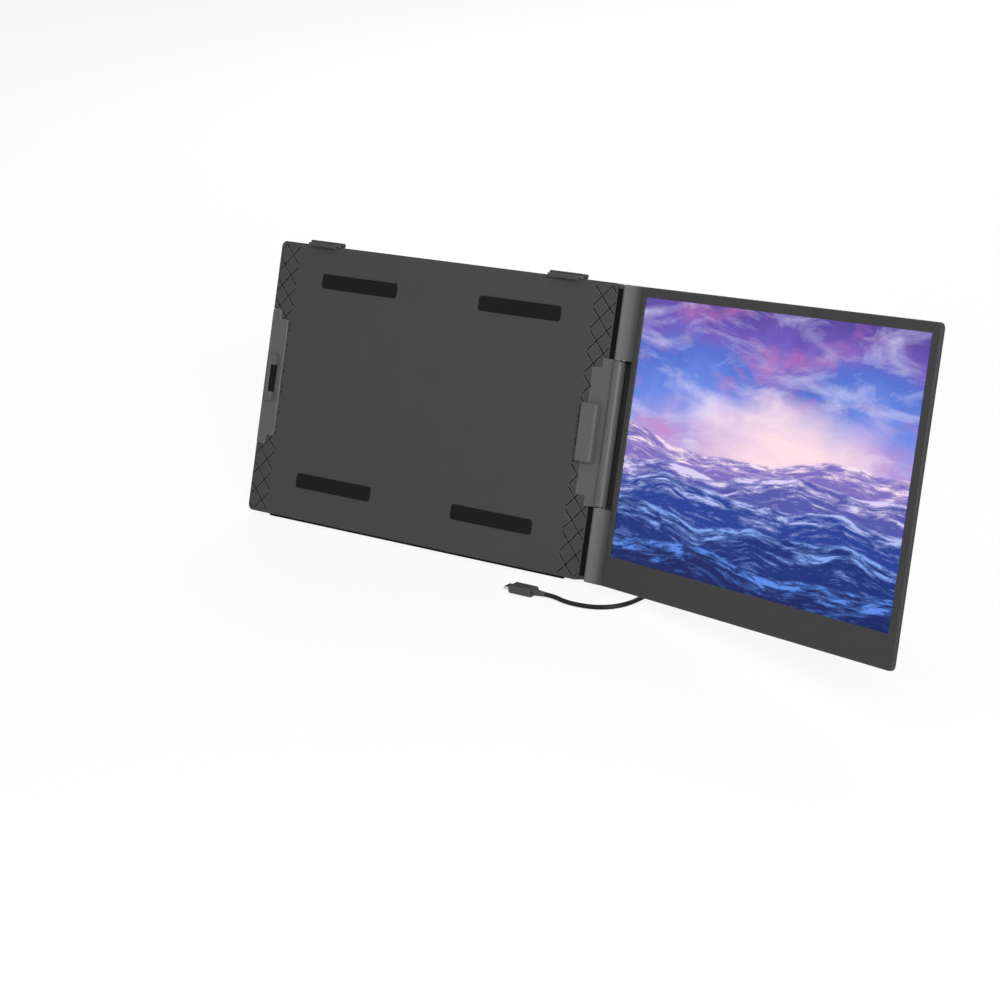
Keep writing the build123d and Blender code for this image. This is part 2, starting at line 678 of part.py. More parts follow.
with BuildPart() as kickstand_plate:
    block(stand_plane, (-stand_half, stand_half), (foot_top, 0), around(0, stand_t))
    with BuildSketch(Plane.YZ.offset(-stand_half)):
        with Locations((pivot.Y, pivot.Z)):
            Circle(stand_t / 2)
    extrude(amount=stand_w)
    with BuildSketch(Plane.YZ.offset(-stand_half - through)):
        with Locations((pivot.Y, pivot.Z)):
            Circle(stand_pin_r + pin_run)
    extrude(amount=stand_pin_len / 2 + through, mode=Mode.SUBTRACT)
    with BuildSketch(Plane.YZ.offset(stand_half + through)):
        with Locations((pivot.Y, pivot.Z)):
            Circle(stand_pin_r + pin_run)
    extrude(amount=-stand_pin_len / 2 - through, mode=Mode.SUBTRACT)
kickstand_plate.part.label = "kickstand_plate"
export_step(kickstand_plate.part, "parts/kickstand_plate.step")

with BuildPart() as kickstand_foot:
    foot_x = (-stand_half + stand_foot_in, stand_half - stand_foot_in)
    block(stand_plane, foot_x, (-stand_len - stand_t, foot_top), around(0, stand_t))
    split(bisect_by=Plane.XY, keep=Keep.TOP)
kickstand_foot.part.label = "kickstand_foot"
export_step(kickstand_foot.part, "parts/kickstand_foot.step")

with BuildPart() as kickstand_pins:
    for side in (-1, 1):
        with BuildSketch(Plane.YZ.offset(side * stand_half - stand_pin_len / 2)):
            with Locations((pivot.Y, pivot.Z)):
                Circle(stand_pin_r)
        extrude(amount=stand_pin_len)
kickstand_pins.part.label = "kickstand_pins"
export_step(kickstand_pins.part, "parts/kickstand_pins.step")

# ------------------------------------------------------------------ monitor
body_a = (screen_left - bezel_left, screen_left + screen_w + bezel_right)
view_s = (monitor_foot + chin, monitor_foot + chin + screen_h)
view_a = (screen_left, screen_left + screen_w)
panel_a = (view_a[0] - panel_margin, view_a[1] + panel_margin)
panel_s = (view_s[0] - panel_margin_low, view_s[1] + panel_margin)
panel_front = -bezel_lip - fit
backlight_front = panel_front - panel_t - fit
tray_front = backlight_front - backlight_t - fit
tray_back = tray_front - tray_t
cover_inside = -body_t + shell


with BuildPart() as monitor_bezel:
    with BuildSketch(monitor_plane.offset(-bezel_t)) as bezel_outline:
        with Locations(((body_a[0] + body_a[1]) / 2, (body_s[0] + body_s[1]) / 2)):
            Rectangle(body_a[1] - body_a[0], body_s[1] - body_s[0])
        fillet(bezel_outline.vertices().group_by(Axis.X)[-1], radius=monitor_corner)
    extrude(amount=bezel_t)
    bezel_point = monitor_plane.from_local_coords(Vector(body_a[1] / 2, body_s[1] / 2, 0))
    chamfer(monitor_bezel.faces().sort_by_distance(bezel_point)[0].edges(), length=edge_break)
    block(monitor_plane, view_a, view_s, (-bezel_t - through, through), Mode.SUBTRACT)
    panel_seat_a = grown(panel_a, fit)
    block(monitor_plane, panel_seat_a, grown(panel_s, fit), (-bezel_t - through, -bezel_lip), Mode.SUBTRACT)
monitor_bezel.part.label = "monitor_bezel"
export_step(monitor_bezel.part, "parts/monitor_bezel.step")

with BuildPart() as lcd_panel:
    block(monitor_plane, panel_a, panel_s, (panel_front - panel_t, panel_front))
lcd_panel.part.label = "lcd_panel"
export_step(lcd_panel.part, "parts/lcd_panel.step")

with BuildPart() as backlight_unit:
    block(monitor_plane, panel_a, panel_s, (backlight_front - backlight_t, backlight_front))
backlight_unit.part.label = "backlight_unit"
export_step(backlight_unit.part, "parts/backlight_unit.step")

with BuildPart() as panel_tray:
    block(monitor_plane, panel_a, panel_s, (tray_back, tray_front))
panel_tray.part.label = "panel_tray"
export_step(panel_tray.part, "parts/panel_tray.step")

hinge_screw_spots = [
    (bracket_screw_a, s)
    for bracket_span in (lower_bracket_span, upper_bracket_span)
    for s in grown(bracket_span, -bracket_screw_end)
]
box_a = (box_left, box_left + box_w)
box_s = (box_low, box_low + box_h)
box_back = -body_t - box_rise
board_a = grown(box_a, -board_edge)
board_s = (box_s[0] + board_low, box_s[0] + board_low + box_h - board_room)
board_b = (-body_t - standoff_h - board_t, -body_t - standoff_h)
port_b = board_b[0] - usb_h / 2
board_screw_spots = [
    (a, s)
    for a in grown(board_a, -board_screw_in)
    for s in (board_s[0] + board_screw_low, board_s[1] - board_screw_high)
]
usb_a = [box_a[0] + inset for inset in usb_in]
hdmi_a = box_a[0] + hdmi_in
button_names = list(button_in)
button_a = {name: box_a[1] - button_in[name] for name in button_names}
speaker_a = (box_a[0] + speaker_in, box_a[1] - speaker_in - speaker_w)
speaker_s = box_s[1] - speaker_down
post_spots = [(a, s) for a in grown(box_a, -post_in) for s in grown(box_s, -post_in)]
cover_bite = cover_inside - 2 * tip_room

with BuildPart() as monitor_rear_cover:
    with BuildSketch(monitor_plane.offset(-bezel_t)) as wide_outline:
        with Locations(((body_a[0] + body_a[1]) / 2, (body_s[0] + body_s[1]) / 2)):
            Rectangle(body_a[1] - body_a[0], body_s[1] - body_s[0])
        fillet(wide_outline.vertices().group_by(Axis.X)[-1], radius=monitor_corner)
    with BuildSketch(monitor_plane.offset(-body_t)) as narrow_outline:
        narrow_a = (body_a[0] + taper_left, body_a[1] - taper_right)
        narrow_s = grown(body_s, -taper_end)
        with Locations(((narrow_a[0] + narrow_a[1]) / 2, (narrow_s[0] + narrow_s[1]) / 2)):
            Rectangle(narrow_a[1] - narrow_a[0], narrow_s[1] - narrow_s[0])
        fillet(narrow_outline.vertices().group_by(Axis.X)[-1], radius=monitor_corner)
    loft(ruled=True)
    block(monitor_plane, grown(panel_a, fit), grown(panel_s, fit), (tray_back - fit, through), Mode.SUBTRACT)
    room_a = (panel_a[0] - tray_ledge_left, panel_a[1] - tray_ledge)
    room_s = (panel_s[0] - tray_ledge, panel_s[1] - tray_ledge)
    block(monitor_plane, room_a, room_s, (cover_inside, through), Mode.SUBTRACT)
    lip_a = (hinge_lip_in, body_a[0] + taper_left + shell / 2)
    lip_b = (-hinge_lip_back, -hinge_lip_back + shell)
    block(monitor_plane, lip_a, grown(barrel_span, knuckle_gap - fit), lip_b)
    for bracket_span in (lower_bracket_span, upper_bracket_span):
        slit_b = (-bracket_back - fit, -bracket_back + bracket_t + fit)
        slit_a = (body_a[0] - through, room_a[0] + through)
        block(monitor_plane, slit_a, grown(bracket_span, fit), slit_b, Mode.SUBTRACT)
    for a, s in hinge_screw_spots:
        stud(monitor_plane, a, s, (cover_inside - fit, -bracket_back), standoff_r)
        stud(monitor_plane, a, s, (-body_t - through, through), screw_r + screw_clear, Mode.SUBTRACT)
        seat = (-body_t - through, -body_t + screw_head_h)
        stud(monitor_plane, a, s, seat, screw_head_r + screw_clear, Mode.SUBTRACT)
    for a, s in board_screw_spots:
        stud(monitor_plane, a, s, (board_b[1], -body_t + fit), standoff_r)
    for a, s in board_screw_spots + post_spots:
        stud(monitor_plane, a, s, (board_b[0] - through, cover_bite + tip_room), screw_r + fit, Mode.SUBTRACT)
monitor_rear_cover.part.label = "monitor_rear_cover"
export_step(monitor_rear_cover.part, "parts/monitor_rear_cover.step")


def knuckle(whole, ends, outer_end, bracket_ends):
    """A hinge knuckle of the monitor, cut for the bracket whose sleeve turns on the pin."""
    heel = (barrel_r * cos(radians(heel_turn)), -barrel_r * sin(radians(heel_turn)))
    leaf_a = body_a[0] - fit
    post(monitor_plane, 0, 0, ends, barrel_r)
    far = hypot(*knuckle_shoulder)
    crest = atan2(knuckle_shoulder[1], knuckle_shoulder[0]) + acos(barrel_r / far)
    with BuildSketch(section(monitor_plane, ends[1])) as outline:
        with BuildLine():
            Polyline(
                (barrel_r * cos(crest), barrel_r * sin(crest)),
                knuckle_shoulder,
                (leaf_a, knuckle_rise),
                (leaf_a, -knuckle_back),
                (knuckle_heel, -knuckle_back),
                heel,
                close=True,
            )
        make_face()
        fillet(outline.vertices().sort_by_distance(Vector(*knuckle_shoulder))[0], radius=knuckle_round)
    extrude(outline.sketch, amount=ends[1] - ends[0])
    end_point = monitor_plane.from_local_coords(Vector(leaf_a / 2, outer_end, -knuckle_back / 2))
    chamfer(whole.faces().sort_by_distance(end_point)[0].edges(), length=knuckle_edge)
    post(monitor_plane, 0, 0, bracket_ends, sleeve_r + fit, Mode.SUBTRACT)
    web_a = grown(bracket_web, fit)
    block(monitor_plane, web_a, bracket_ends, (-bracket_back - fit, 0), Mode.SUBTRACT)
    slit_b = (-bracket_back - fit, -bracket_back + bracket_t + fit)
    block(monitor_plane, (web_a[0], leaf_a + through), bracket_ends, slit_b, Mode.SUBTRACT)


with BuildPart() as upper_knuckle:
    sleeve_room = (upper_bracket_span[0] - through, upper_bracket_span[1] + fit)
    knuckle(upper_knuckle, upper_knuckle_span, body_s[1], sleeve_room)
upper_knuckle.part.label = "upper_knuckle"
export_step(upper_knuckle.part, "parts/upper_knuckle.step")

with BuildPart() as lower_knuckle:
    sleeve_room = (lower_bracket_span[0] - fit, lower_bracket_span[1] + through)
    knuckle(lower_knuckle, lower_knuckle_span, body_s[0], sleeve_room)
lower_knuckle.part.label = "lower_knuckle"
export_step(lower_knuckle.part, "parts/lower_knuckle.step")


def hinge_bracket(ends):
    """A sleeve round the pin with a leaf that is screwed inside the monitor."""
    post(monitor_plane, 0, 0, ends, sleeve_r)
    block(monitor_plane, bracket_web, ends, (-bracket_back, -sleeve_r / 2))
    leaf_b = (-bracket_back, -bracket_back + bracket_t)
    block(monitor_plane, (bracket_web[0], bracket_reach), ends, leaf_b)
    post(monitor_plane, 0, 0, grown(ends, through), pin_r + pin_run, Mode.SUBTRACT)
    for s in grown(ends, -bracket_screw_end):
        stud(monitor_plane, bracket_screw_a, s, (-body_t, 0), screw_r + fit, Mode.SUBTRACT)


with BuildPart() as upper_hinge_bracket:
    hinge_bracket(upper_bracket_span)
upper_hinge_bracket.part.label = "upper_hinge_bracket"
export_step(upper_hinge_bracket.part, "parts/upper_hinge_bracket.step")

with BuildPart() as lower_hinge_bracket:
    hinge_bracket(lower_bracket_span)
lower_hinge_bracket.part.label = "lower_hinge_bracket"
export_step(lower_hinge_bracket.part, "parts/lower_hinge_bracket.step")

with BuildPart() as hinge_screws:
    for a, s in hinge_screw_spots:
        screw(monitor_plane, a, s, -body_t, -bracket_back + bracket_t)
hinge_screws.part.label = "hinge_screws"
export_step(hinge_screws.part, "parts/hinge_screws.step")

# ------------------------------------------------------------------ electronics
with BuildPart() as electronics_cover:
    block(monitor_plane, box_a, box_s, (box_back, -body_t), corner=box_corner)
    box_point = monitor_plane.from_local_coords(Vector(sum(box_a) / 2, sum(box_s) / 2, box_back))
    fillet(electronics_cover.faces().sort_by_distance(box_point)[0].edges(), radius=box_round)
    room_corner = box_corner - shell
    box_room = (box_back + shell, through)
    block(monitor_plane, grown(box_a, -shell), grown(box_s, -shell), box_room, Mode.SUBTRACT, room_corner)
    for a, s in post_spots:
        stud(monitor_plane, a, s, (box_back + shell, -body_t), post_r)
        stud(monitor_plane, a, s, (box_back - through, through), screw_r + screw_clear, Mode.SUBTRACT)
        seat = (box_back - through, box_back + screw_head_h)
        stud(monitor_plane, a, s, seat, screw_head_r + screw_clear, Mode.SUBTRACT)
    wall_s = (box_s[0] - through, box_s[0] + shell + through / 2)
    for a in usb_a:
        stadium(monitor_plane, a, port_b, wall_s, usb_w + 2 * port_gap, usb_h + 2 * port_gap, Mode.SUBTRACT)
    hdmi_b = around(port_b, usb_h + 2 * port_gap)
    block(monitor_plane, around(hdmi_a, hdmi_w + 2 * port_gap), wall_s, hdmi_b, Mode.SUBTRACT)
    for name in button_names:
        button_x = around(button_a[name], button_w[name] + 2 * port_gap)
        block(monitor_plane, button_x, wall_s, around(port_b, button_h + 2 * port_gap), Mode.SUBTRACT)
    for a in speaker_a:
        for slot in range(grille_slots):
            slot_a = a + speaker_w / 2 + (slot - (grille_slots - 1) / 2) * grille_pitch
            slot_x = around(slot_a, grille_w)
            slot_y = around(speaker_s + speaker_h / 2, grille_h)
            slot_b = (box_back - through, box_back + shell + through)
            block(monitor_plane, slot_x, slot_y, slot_b, Mode.SUBTRACT)
electronics_cover.part.label = "electronics_cover"
export_step(electronics_cover.part, "parts/electronics_cover.step")

with BuildPart() as cover_screws:
    for a, s in post_spots:
        screw(monitor_plane, a, s, box_back, cover_bite)
cover_screws.part.label = "cover_screws"
export_step(cover_screws.part, "parts/cover_screws.step")

with BuildPart() as main_board:
    block(monitor_plane, board_a, board_s, board_b)
    for a, s in board_screw_spots:
        stud(monitor_plane, a, s, grown(board_b, through), screw_r + screw_clear, Mode.SUBTRACT)
main_board.part.label = "main_board"
export_step(main_board.part, "parts/main_board.step")

with BuildPart() as board_screws:
    for a, s in board_screw_spots:
        screw(monitor_plane, a, s, board_b[0] - screw_head_h, cover_bite)
board_screws.part.label = "board_screws"
export_step(board_screws.part, "parts/board_screws.step")

socket_s = (box_s[0] + plug_stand, box_s[0] + plug_stand + usb_depth)
with BuildPart() as usb_c_ports:
    for a in usb_a:
        stadium(monitor_plane, a, port_b, socket_s, usb_w, usb_h)
        cavity_s = (socket_s[0] - through, socket_s[1] - usb_wall)
        stadium(monitor_plane, a, port_b, cavity_s, usb_w - 2 * usb_wall, usb_h - 2 * usb_wall, Mode.SUBTRACT)
        tongue_s = (socket_s[0] + through, socket_s[1] - usb_wall / 2)
        block(monitor_plane, around(a, usb_tongue_w), tongue_s, around(port_b, usb_tongue_t))
usb_c_ports.part.label = "usb_c_ports"
export_step(usb_c_ports.part, "parts/usb_c_ports.step")

with BuildPart() as mini_hdmi_port:
    block(monitor_plane, around(hdmi_a, hdmi_w), socket_s, around(port_b, usb_h))
    cavity_s = (socket_s[0] - through, socket_s[1] - usb_wall)
    cavity_b = around(port_b, usb_h - 2 * usb_wall)
    block(monitor_plane, around(hdmi_a, hdmi_w - 2 * usb_wall), cavity_s, cavity_b, Mode.SUBTRACT)
    tongue_s = (socket_s[0] + through, socket_s[1] - usb_wall / 2)
    block(monitor_plane, around(hdmi_a, usb_tongue_w), tongue_s, around(port_b, usb_tongue_t))
mini_hdmi_port.part.label = "mini_hdmi_port"
export_step(mini_hdmi_port.part, "parts/mini_hdmi_port.step")

with BuildPart() as speakers:
    for a in speaker_a:
        speaker_x = (a, a + speaker_w)
        speaker_y = (speaker_s, speaker_s + speaker_h)
        block(monitor_plane, speaker_x, speaker_y, (-body_t - speaker_t, -body_t), corner=speaker_corner)
speakers.part.label = "speakers"
export_step(speakers.part, "parts/speakers.step")

flange_s = (box_s[0] + shell + fit, box_s[0] + shell + fit + button_flange)
switch_low = flange_s[1] + button_stroke + switch_gap


def button(name):
    """A button whose cap stands out of the box's underside and whose flange stays inside."""
    cap_s = (box_s[0] - button_stand, flange_s[1])
    block(monitor_plane, around(button_a[name], button_w[name]), cap_s, around(port_b, button_h))
    ears = around(button_a[name], button_w[name] + 2 * button_ear)
    block(monitor_plane, ears, flange_s, around(port_b, button_h))


with BuildPart() as power_button:
    button("power")
power_button.part.label = "power_button"
export_step(power_button.part, "parts/power_button.step")

with BuildPart() as menu_button:
    button("menu")
menu_button.part.label = "menu_button"
export_step(menu_button.part, "parts/menu_button.step")

with BuildPart() as minus_button:
    button("minus")
minus_button.part.label = "minus_button"
export_step(minus_button.part, "parts/minus_button.step")

with BuildPart() as plus_button:
    button("plus")
plus_button.part.label = "plus_button"
export_step(plus_button.part, "parts/plus_button.step")

with BuildPart() as tact_switches:
    for name in button_names:
        switch_b = (port_b - button_h / 2, board_b[0])
        block(monitor_plane, around(button_a[name], switch_w), (switch_low, switch_low + switch_h), switch_b)
tact_switches.part.label = "tact_switches"
export_step(tact_switches.part, "parts/tact_switches.step")

# ------------------------------------------------------------------ lead
port_plane = Plane(
    origin=monitor_plane.from_local_coords(Vector(usb_a[1], box_s[0] - plug_stand, port_b)),
    x_dir=monitor_plane.x_dir,
    z_dir=monitor_plane.y_dir,
)
desk_plane = Plane(
    origin=(axis_x - loose_plug_in, loose_plug_y, plug_stand + plug_t / 2),
    x_dir=(0, 1, 0),
    z_dir=(-1, 0, 0),
)


def plug_body(plane):
    """The moulding that is held to push the plug in, from the plane's origin backwards."""
    with BuildSketch(plane.offset(-plug_l)) as outline:
        RectangleRounded(plug_w, plug_t, plug_round)
    extrude(outline.sketch, amount=plug_l)


def plug_nose(plane):
    """The metal shell that enters the socket."""
    with BuildSketch(plane) as outline:
        SlotOverall(nose_w, nose_t)
    extrude(outline.sketch, amount=nose_l)
    with BuildSketch(plane.offset(nose_wall)) as cavity:
        SlotOverall(nose_w - 2 * nose_wall, nose_t - 2 * nose_wall)
    extrude(cavity.sketch, amount=nose_l, mode=Mode.SUBTRACT)


def plug_relief(plane):
    """The tapered sleeve between moulding and cord."""
    with BuildSketch(plane.offset(-plug_l)) as large:
        Circle(relief_r)
    with BuildSketch(plane.offset(-plug_l - relief_l)) as small:
        Circle(cord_d / 2)
    loft([large.sketch.face(), small.sketch.face()], ruled=True)


with BuildPart() as monitor_plug_body:
    plug_body(port_plane)
monitor_plug_body.part.label = "monitor_plug_body"
export_step(monitor_plug_body.part, "parts/monitor_plug_body.step")

with BuildPart() as monitor_plug_nose:
    plug_nose(port_plane)
monitor_plug_nose.part.label = "monitor_plug_nose"
export_step(monitor_plug_nose.part, "parts/monitor_plug_nose.step")

with BuildPart() as monitor_plug_relief:
    plug_relief(port_plane)
monitor_plug_relief.part.label = "monitor_plug_relief"
export_step(monitor_plug_relief.part, "parts/monitor_plug_relief.step")

with BuildPart() as laptop_plug_body:
    plug_body(desk_plane)
laptop_plug_body.part.label = "laptop_plug_body"
export_step(laptop_plug_body.part, "parts/laptop_plug_body.step")

with BuildPart() as laptop_plug_nose:
    plug_nose(desk_plane)
laptop_plug_nose.part.label = "laptop_plug_nose"
export_step(laptop_plug_nose.part, "parts/laptop_plug_nose.step")

with BuildPart() as laptop_plug_relief:
    plug_relief(desk_plane)
laptop_plug_relief.part.label = "laptop_plug_relief"
export_step(laptop_plug_relief.part, "parts/laptop_plug_relief.step")

# The lead runs from the loose plug's sleeve, along the desk and up to the plug in the box.
cord_end = port_plane.from_local_coords(Vector(0, 0, -plug_l - relief_l))
cord_lead_in = port_plane.from_local_coords(Vector(0, 0, -plug_l - relief_l - cord_lead))
cord_start = desk_plane.from_local_coords(Vector(0, 0, -plug_l - relief_l))
route = [cord_start] + [Vector(axis_x + x, y, z) for x, y, z in cord_points] + [cord_lead_in, cord_end]
radii = []
for before, corner, after in zip(route, route[1:], route[2:]):
    half_turn = radians((corner - before).get_angle(after - corner)) / 2
    shorter = min((corner - before).length, (after - corner).length)
    radii.append(0.45 * shorter / tan(half_turn))
print("cord radii", [round(radius, 1) for radius in radii])

with BuildPart() as usb_cable:
    with BuildLine() as cord_line:
        FilletPolyline(*route, radius=radii)
    with BuildSketch(Plane(origin=cord_line.wire() @ 0, z_dir=cord_line.wire() % 0)):
        Circle(cord_d / 2)
    sweep()
print("cord length", round(cord_line.wire().length, 1))
print("cord end", [tuple(round(value, 2) for value in point) for point in (cord_lead_in, cord_end)])
section_area = pi * cord_d ** 2 / 4
print("cord volume over section times length", usb_cable.part.volume / section_area / cord_line.wire().length)
usb_cable.part.label = "usb_cable"
export_step(usb_cable.part, "parts/usb_cable.step")
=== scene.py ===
import json
from math import cos, pi, radians, sin
import bpy
import numpy as np
from mathutils import Matrix, Vector


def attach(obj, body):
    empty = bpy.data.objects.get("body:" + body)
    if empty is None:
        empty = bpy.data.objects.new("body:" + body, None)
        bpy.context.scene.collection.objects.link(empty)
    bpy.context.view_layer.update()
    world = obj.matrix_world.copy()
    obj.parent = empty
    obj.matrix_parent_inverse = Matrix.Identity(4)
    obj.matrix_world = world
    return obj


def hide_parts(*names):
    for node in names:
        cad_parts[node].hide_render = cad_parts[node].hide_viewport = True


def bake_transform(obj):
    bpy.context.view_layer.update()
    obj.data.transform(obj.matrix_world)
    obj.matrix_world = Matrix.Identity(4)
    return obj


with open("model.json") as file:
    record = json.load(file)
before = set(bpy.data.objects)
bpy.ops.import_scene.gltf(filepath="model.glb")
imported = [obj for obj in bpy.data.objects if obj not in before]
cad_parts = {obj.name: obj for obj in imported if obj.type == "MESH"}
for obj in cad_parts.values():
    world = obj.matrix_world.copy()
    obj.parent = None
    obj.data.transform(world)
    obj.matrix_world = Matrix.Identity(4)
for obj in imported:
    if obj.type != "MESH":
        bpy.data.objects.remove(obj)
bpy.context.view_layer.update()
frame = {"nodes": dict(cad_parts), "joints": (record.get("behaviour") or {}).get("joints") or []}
cadNodes = frame["nodes"]
joints = {joint["name"]: joint for joint in frame["joints"]}

# stance: the frame leans back and the monitor is turned forward about its hinge
stance = {"lean": radians(20.1), "swing": radians(19.6), "hingeMiddle": 0.1123}
right = Vector((1, 0, 0))
up = -Vector(joints["monitor_swing"]["axis"])
front = right.cross(up)
hingeFoot = Vector(joints["monitor_swing"]["pos_m"]) - stance["hingeMiddle"] * up
across = cos(stance["swing"]) * right + sin(stance["swing"]) * front
facing = across.cross(up)


# the matrix of a place: three axes and the origin as its columns
def placeOf(origin, xAxis, yAxis, zAxis):
    return Matrix([[xAxis[i], yAxis[i], zAxis[i], origin[i]] for i in range(3)] + [[0, 0, 0, 1]])


framePlace = placeOf(hingeFoot - hingeFoot.x * right, right, up, front)
monitorPlace = placeOf(hingeFoot, across, up, facing)

cameraSettings = {
    "place": (1.53393, -1.51344, 0.77082),
    "turn": (70.9127, 5.6083, 41.4950),
    "lens": 103.648,
    "sensor": 36.0,
    "reach": 20.0,
}


def makeCamera(look):
    camera = bpy.data.objects.new("camera", bpy.data.cameras.new("camera"))
    camera.location = look["place"]
    camera.rotation_euler = [radians(angle) for angle in look["turn"]]
    camera.data.lens = look["lens"]
    camera.data.sensor_fit = "HORIZONTAL"
    camera.data.sensor_width = look["sensor"]
    camera.data.clip_end = look["reach"]
    bpy.context.scene.collection.objects.link(camera)
    bpy.context.scene.camera = camera


makeCamera(cameraSettings)
print("camera placed")


# faces between the points of a grid, four corners each, joined round if closed
def gridFaces(rows, columns, closed=False):
    index = np.arange(rows * columns).reshape(rows, columns)
    if closed:
        index = np.hstack([index, index[:, :1]])
    corners = [index[:-1, :-1], index[:-1, 1:], index[1:, 1:], index[1:, :-1]]
    return np.stack(corners, -1).reshape(-1, 4)


# one mesh through one or more grids of points; a grid's normal is its column way crossed with its row way
def meshFromGrids(name, grids, closed=False, uv=None):
    faces, first = [], 0
    for grid in grids:
        faces.append(gridFaces(*grid.shape[:2], closed) + first)
        first += grid.shape[0] * grid.shape[1]
    faces = np.vstack(faces)
    mesh = bpy.data.meshes.new(name)
    mesh.from_pydata(np.vstack([grid.reshape(-1, 3) for grid in grids]).tolist(), [], faces.tolist())
    if uv is not None:
        layer = mesh.uv_layers.new(name="surface")
        layer.data.foreach_set("uv", uv.reshape(-1, 2)[faces.ravel()].astype(np.float32).ravel())
    mesh.update()
    return mesh


def addPiece(name, mesh, material, smooth=True):
    piece = bpy.data.objects.new(name, mesh)
    bpy.context.scene.collection.objects.link(piece)
    mesh.materials.append(material)
    if smooth:
        mesh.shade_smooth()
    return piece


# a node's points along the axes of a place
def localPoints(node, place):
    mesh = cadNodes[node].data
    flat = np.empty(len(mesh.vertices) * 3, np.float32)
    mesh.vertices.foreach_get("co", flat)
    matrix = np.array(place)
    return (flat.reshape(-1, 3) - matrix[:3, 3]) @ matrix[:3, :3]


# points given along the axes of a place, in the shared frame
def fromPlace(local, place):
    matrix = np.array(place)
    return local @ matrix[:3, :3].T + matrix[:3, 3]


# an empty node group with its sockets
def newGroup(name, inputs, outputs):
    group = bpy.data.node_groups.new(name, "ShaderNodeTree")
    for socketName, kind, value in inputs:
        socket = group.interface.new_socket(socketName, in_out="INPUT", socket_type=kind)
        socket.default_value = value
    for socketName, kind in outputs:
        group.interface.new_socket(socketName, in_out="OUTPUT", socket_type=kind)
    return group, group.nodes.new("NodeGroupInput"), group.nodes.new("NodeGroupOutput")


# one sum of two sockets or numbers
def mathNode(tree, operation, first, second):
    node = tree.nodes.new("ShaderNodeMath")
    node.operation = operation
    for socket, value in zip(node.inputs, (first, second)):
        if isinstance(value, (int, float)):
            socket.default_value = value
        else:
            tree.links.new(value, socket)
    return node.outputs[0]


# a value stretched from one range to another, held at its ends
def mapRange(tree, value, low, high, fromLow=0.0, fromHigh=1.0):
    node = tree.nodes.new("ShaderNodeMapRange")
    tree.links.new(value, node.inputs["Value"])
    node.inputs["From Min"].default_value = fromLow
    node.inputs["From Max"].default_value = fromHigh
    node.inputs["To Min"].default_value = low
    node.inputs["To Max"].default_value = high
    return node.outputs["Result"]


surfaceSettings = {
    "edgeSamples": 8, "edgeFrom": 0.02, "edgeTo": 0.24, "grainDetail": 3.0, "grainHeight": 0.0001,
    "mottleDetail": 4.0, "mottleShare": 0.7,
}


# Normal: rounded over the edge radius, then roughened by fine noise. Edge: one less the dot
# product of the rounded normal and the plain one, so 0 on a face and 1 on a corner.
# Mottle and Grain: slow and fine noise from 0 to 1, drawn out along an axis by Stretch.
def makeSurfaceGroup(look):
    group, given, result = newGroup(
        "surfaceDetail",
        [("Edge Radius", "NodeSocketFloat", 0.0004), ("Grain Scale", "NodeSocketFloat", 3000.0),
         ("Grain Depth", "NodeSocketFloat", 0.1), ("Mottle Scale", "NodeSocketFloat", 25.0),
         ("Stretch", "NodeSocketVector", (1.0, 1.0, 1.0))],
        [("Normal", "NodeSocketVector"), ("Edge", "NodeSocketFloat"), ("Mottle", "NodeSocketFloat"),
         ("Grain", "NodeSocketFloat")],
    )
    nodes, links = group.nodes, group.links
    place = nodes.new("ShaderNodeTexCoord")
    drawn = nodes.new("ShaderNodeVectorMath")
    drawn.operation = "MULTIPLY"
    links.new(place.outputs["Object"], drawn.inputs[0])
    links.new(given.outputs["Stretch"], drawn.inputs[1])
    bevel = nodes.new("ShaderNodeBevel")
    bevel.samples = look["edgeSamples"]
    links.new(given.outputs["Edge Radius"], bevel.inputs["Radius"])
    grain = nodes.new("ShaderNodeTexNoise")
    grain.inputs["Detail"].default_value = look["grainDetail"]
    mottle = nodes.new("ShaderNodeTexNoise")
    mottle.inputs["Detail"].default_value = look["mottleDetail"]
    for noise, scale in ((grain, "Grain Scale"), (mottle, "Mottle Scale")):
        links.new(drawn.outputs["Vector"], noise.inputs["Vector"])
        links.new(given.outputs[scale], noise.inputs["Scale"])
    bump = nodes.new("ShaderNodeBump")
    bump.inputs["Distance"].default_value = look["grainHeight"]
    links.new(given.outputs["Grain Depth"], bump.inputs["Strength"])
    links.new(grain.outputs["Fac"], bump.inputs["Height"])
    links.new(bevel.outputs["Normal"], bump.inputs["Normal"])
    geometry = nodes.new("ShaderNodeNewGeometry")
    alike = nodes.new("ShaderNodeVectorMath")
    alike.operation = "DOT_PRODUCT"
    links.new(bevel.outputs["Normal"], alike.inputs[0])
    links.new(geometry.outputs["Normal"], alike.inputs[1])
    turned = mathNode(group, "SUBTRACT", 1.0, alike.outputs["Value"])
    links.new(bump.outputs["Normal"], result.inputs["Normal"])
    edge = mapRange(group, turned, 0.0, 1.0, look["edgeFrom"], look["edgeTo"])
    links.new(edge, result.inputs["Edge"])
    links.new(mottle.outputs["Fac"], result.inputs["Mottle"])
    links.new(grain.outputs["Fac"], result.inputs["Grain"])
    return group


surfaceGroup = makeSurfaceGroup(surfaceSettings)


# a group as a node in a material, with its own values
def placeGroup(tree, group, values):
    node = tree.nodes.new("ShaderNodeGroup")
    node.node_tree = group
    for name, value in values.items():
        node.inputs[name].default_value = value
    return node


# a colour between two, by a factor; each may be a socket or a value
def mixColours(tree, factor, first, second):
    node = tree.nodes.new("ShaderNodeMix")
    node.data_type = "RGBA"
    for name, value in (("Factor", factor), ("A", first), ("B", second)):
        if isinstance(value, bpy.types.NodeSocket):
            tree.links.new(value, node.inputs[name])
        else:
            node.inputs[name].default_value = value
    return node.outputs["Result"]


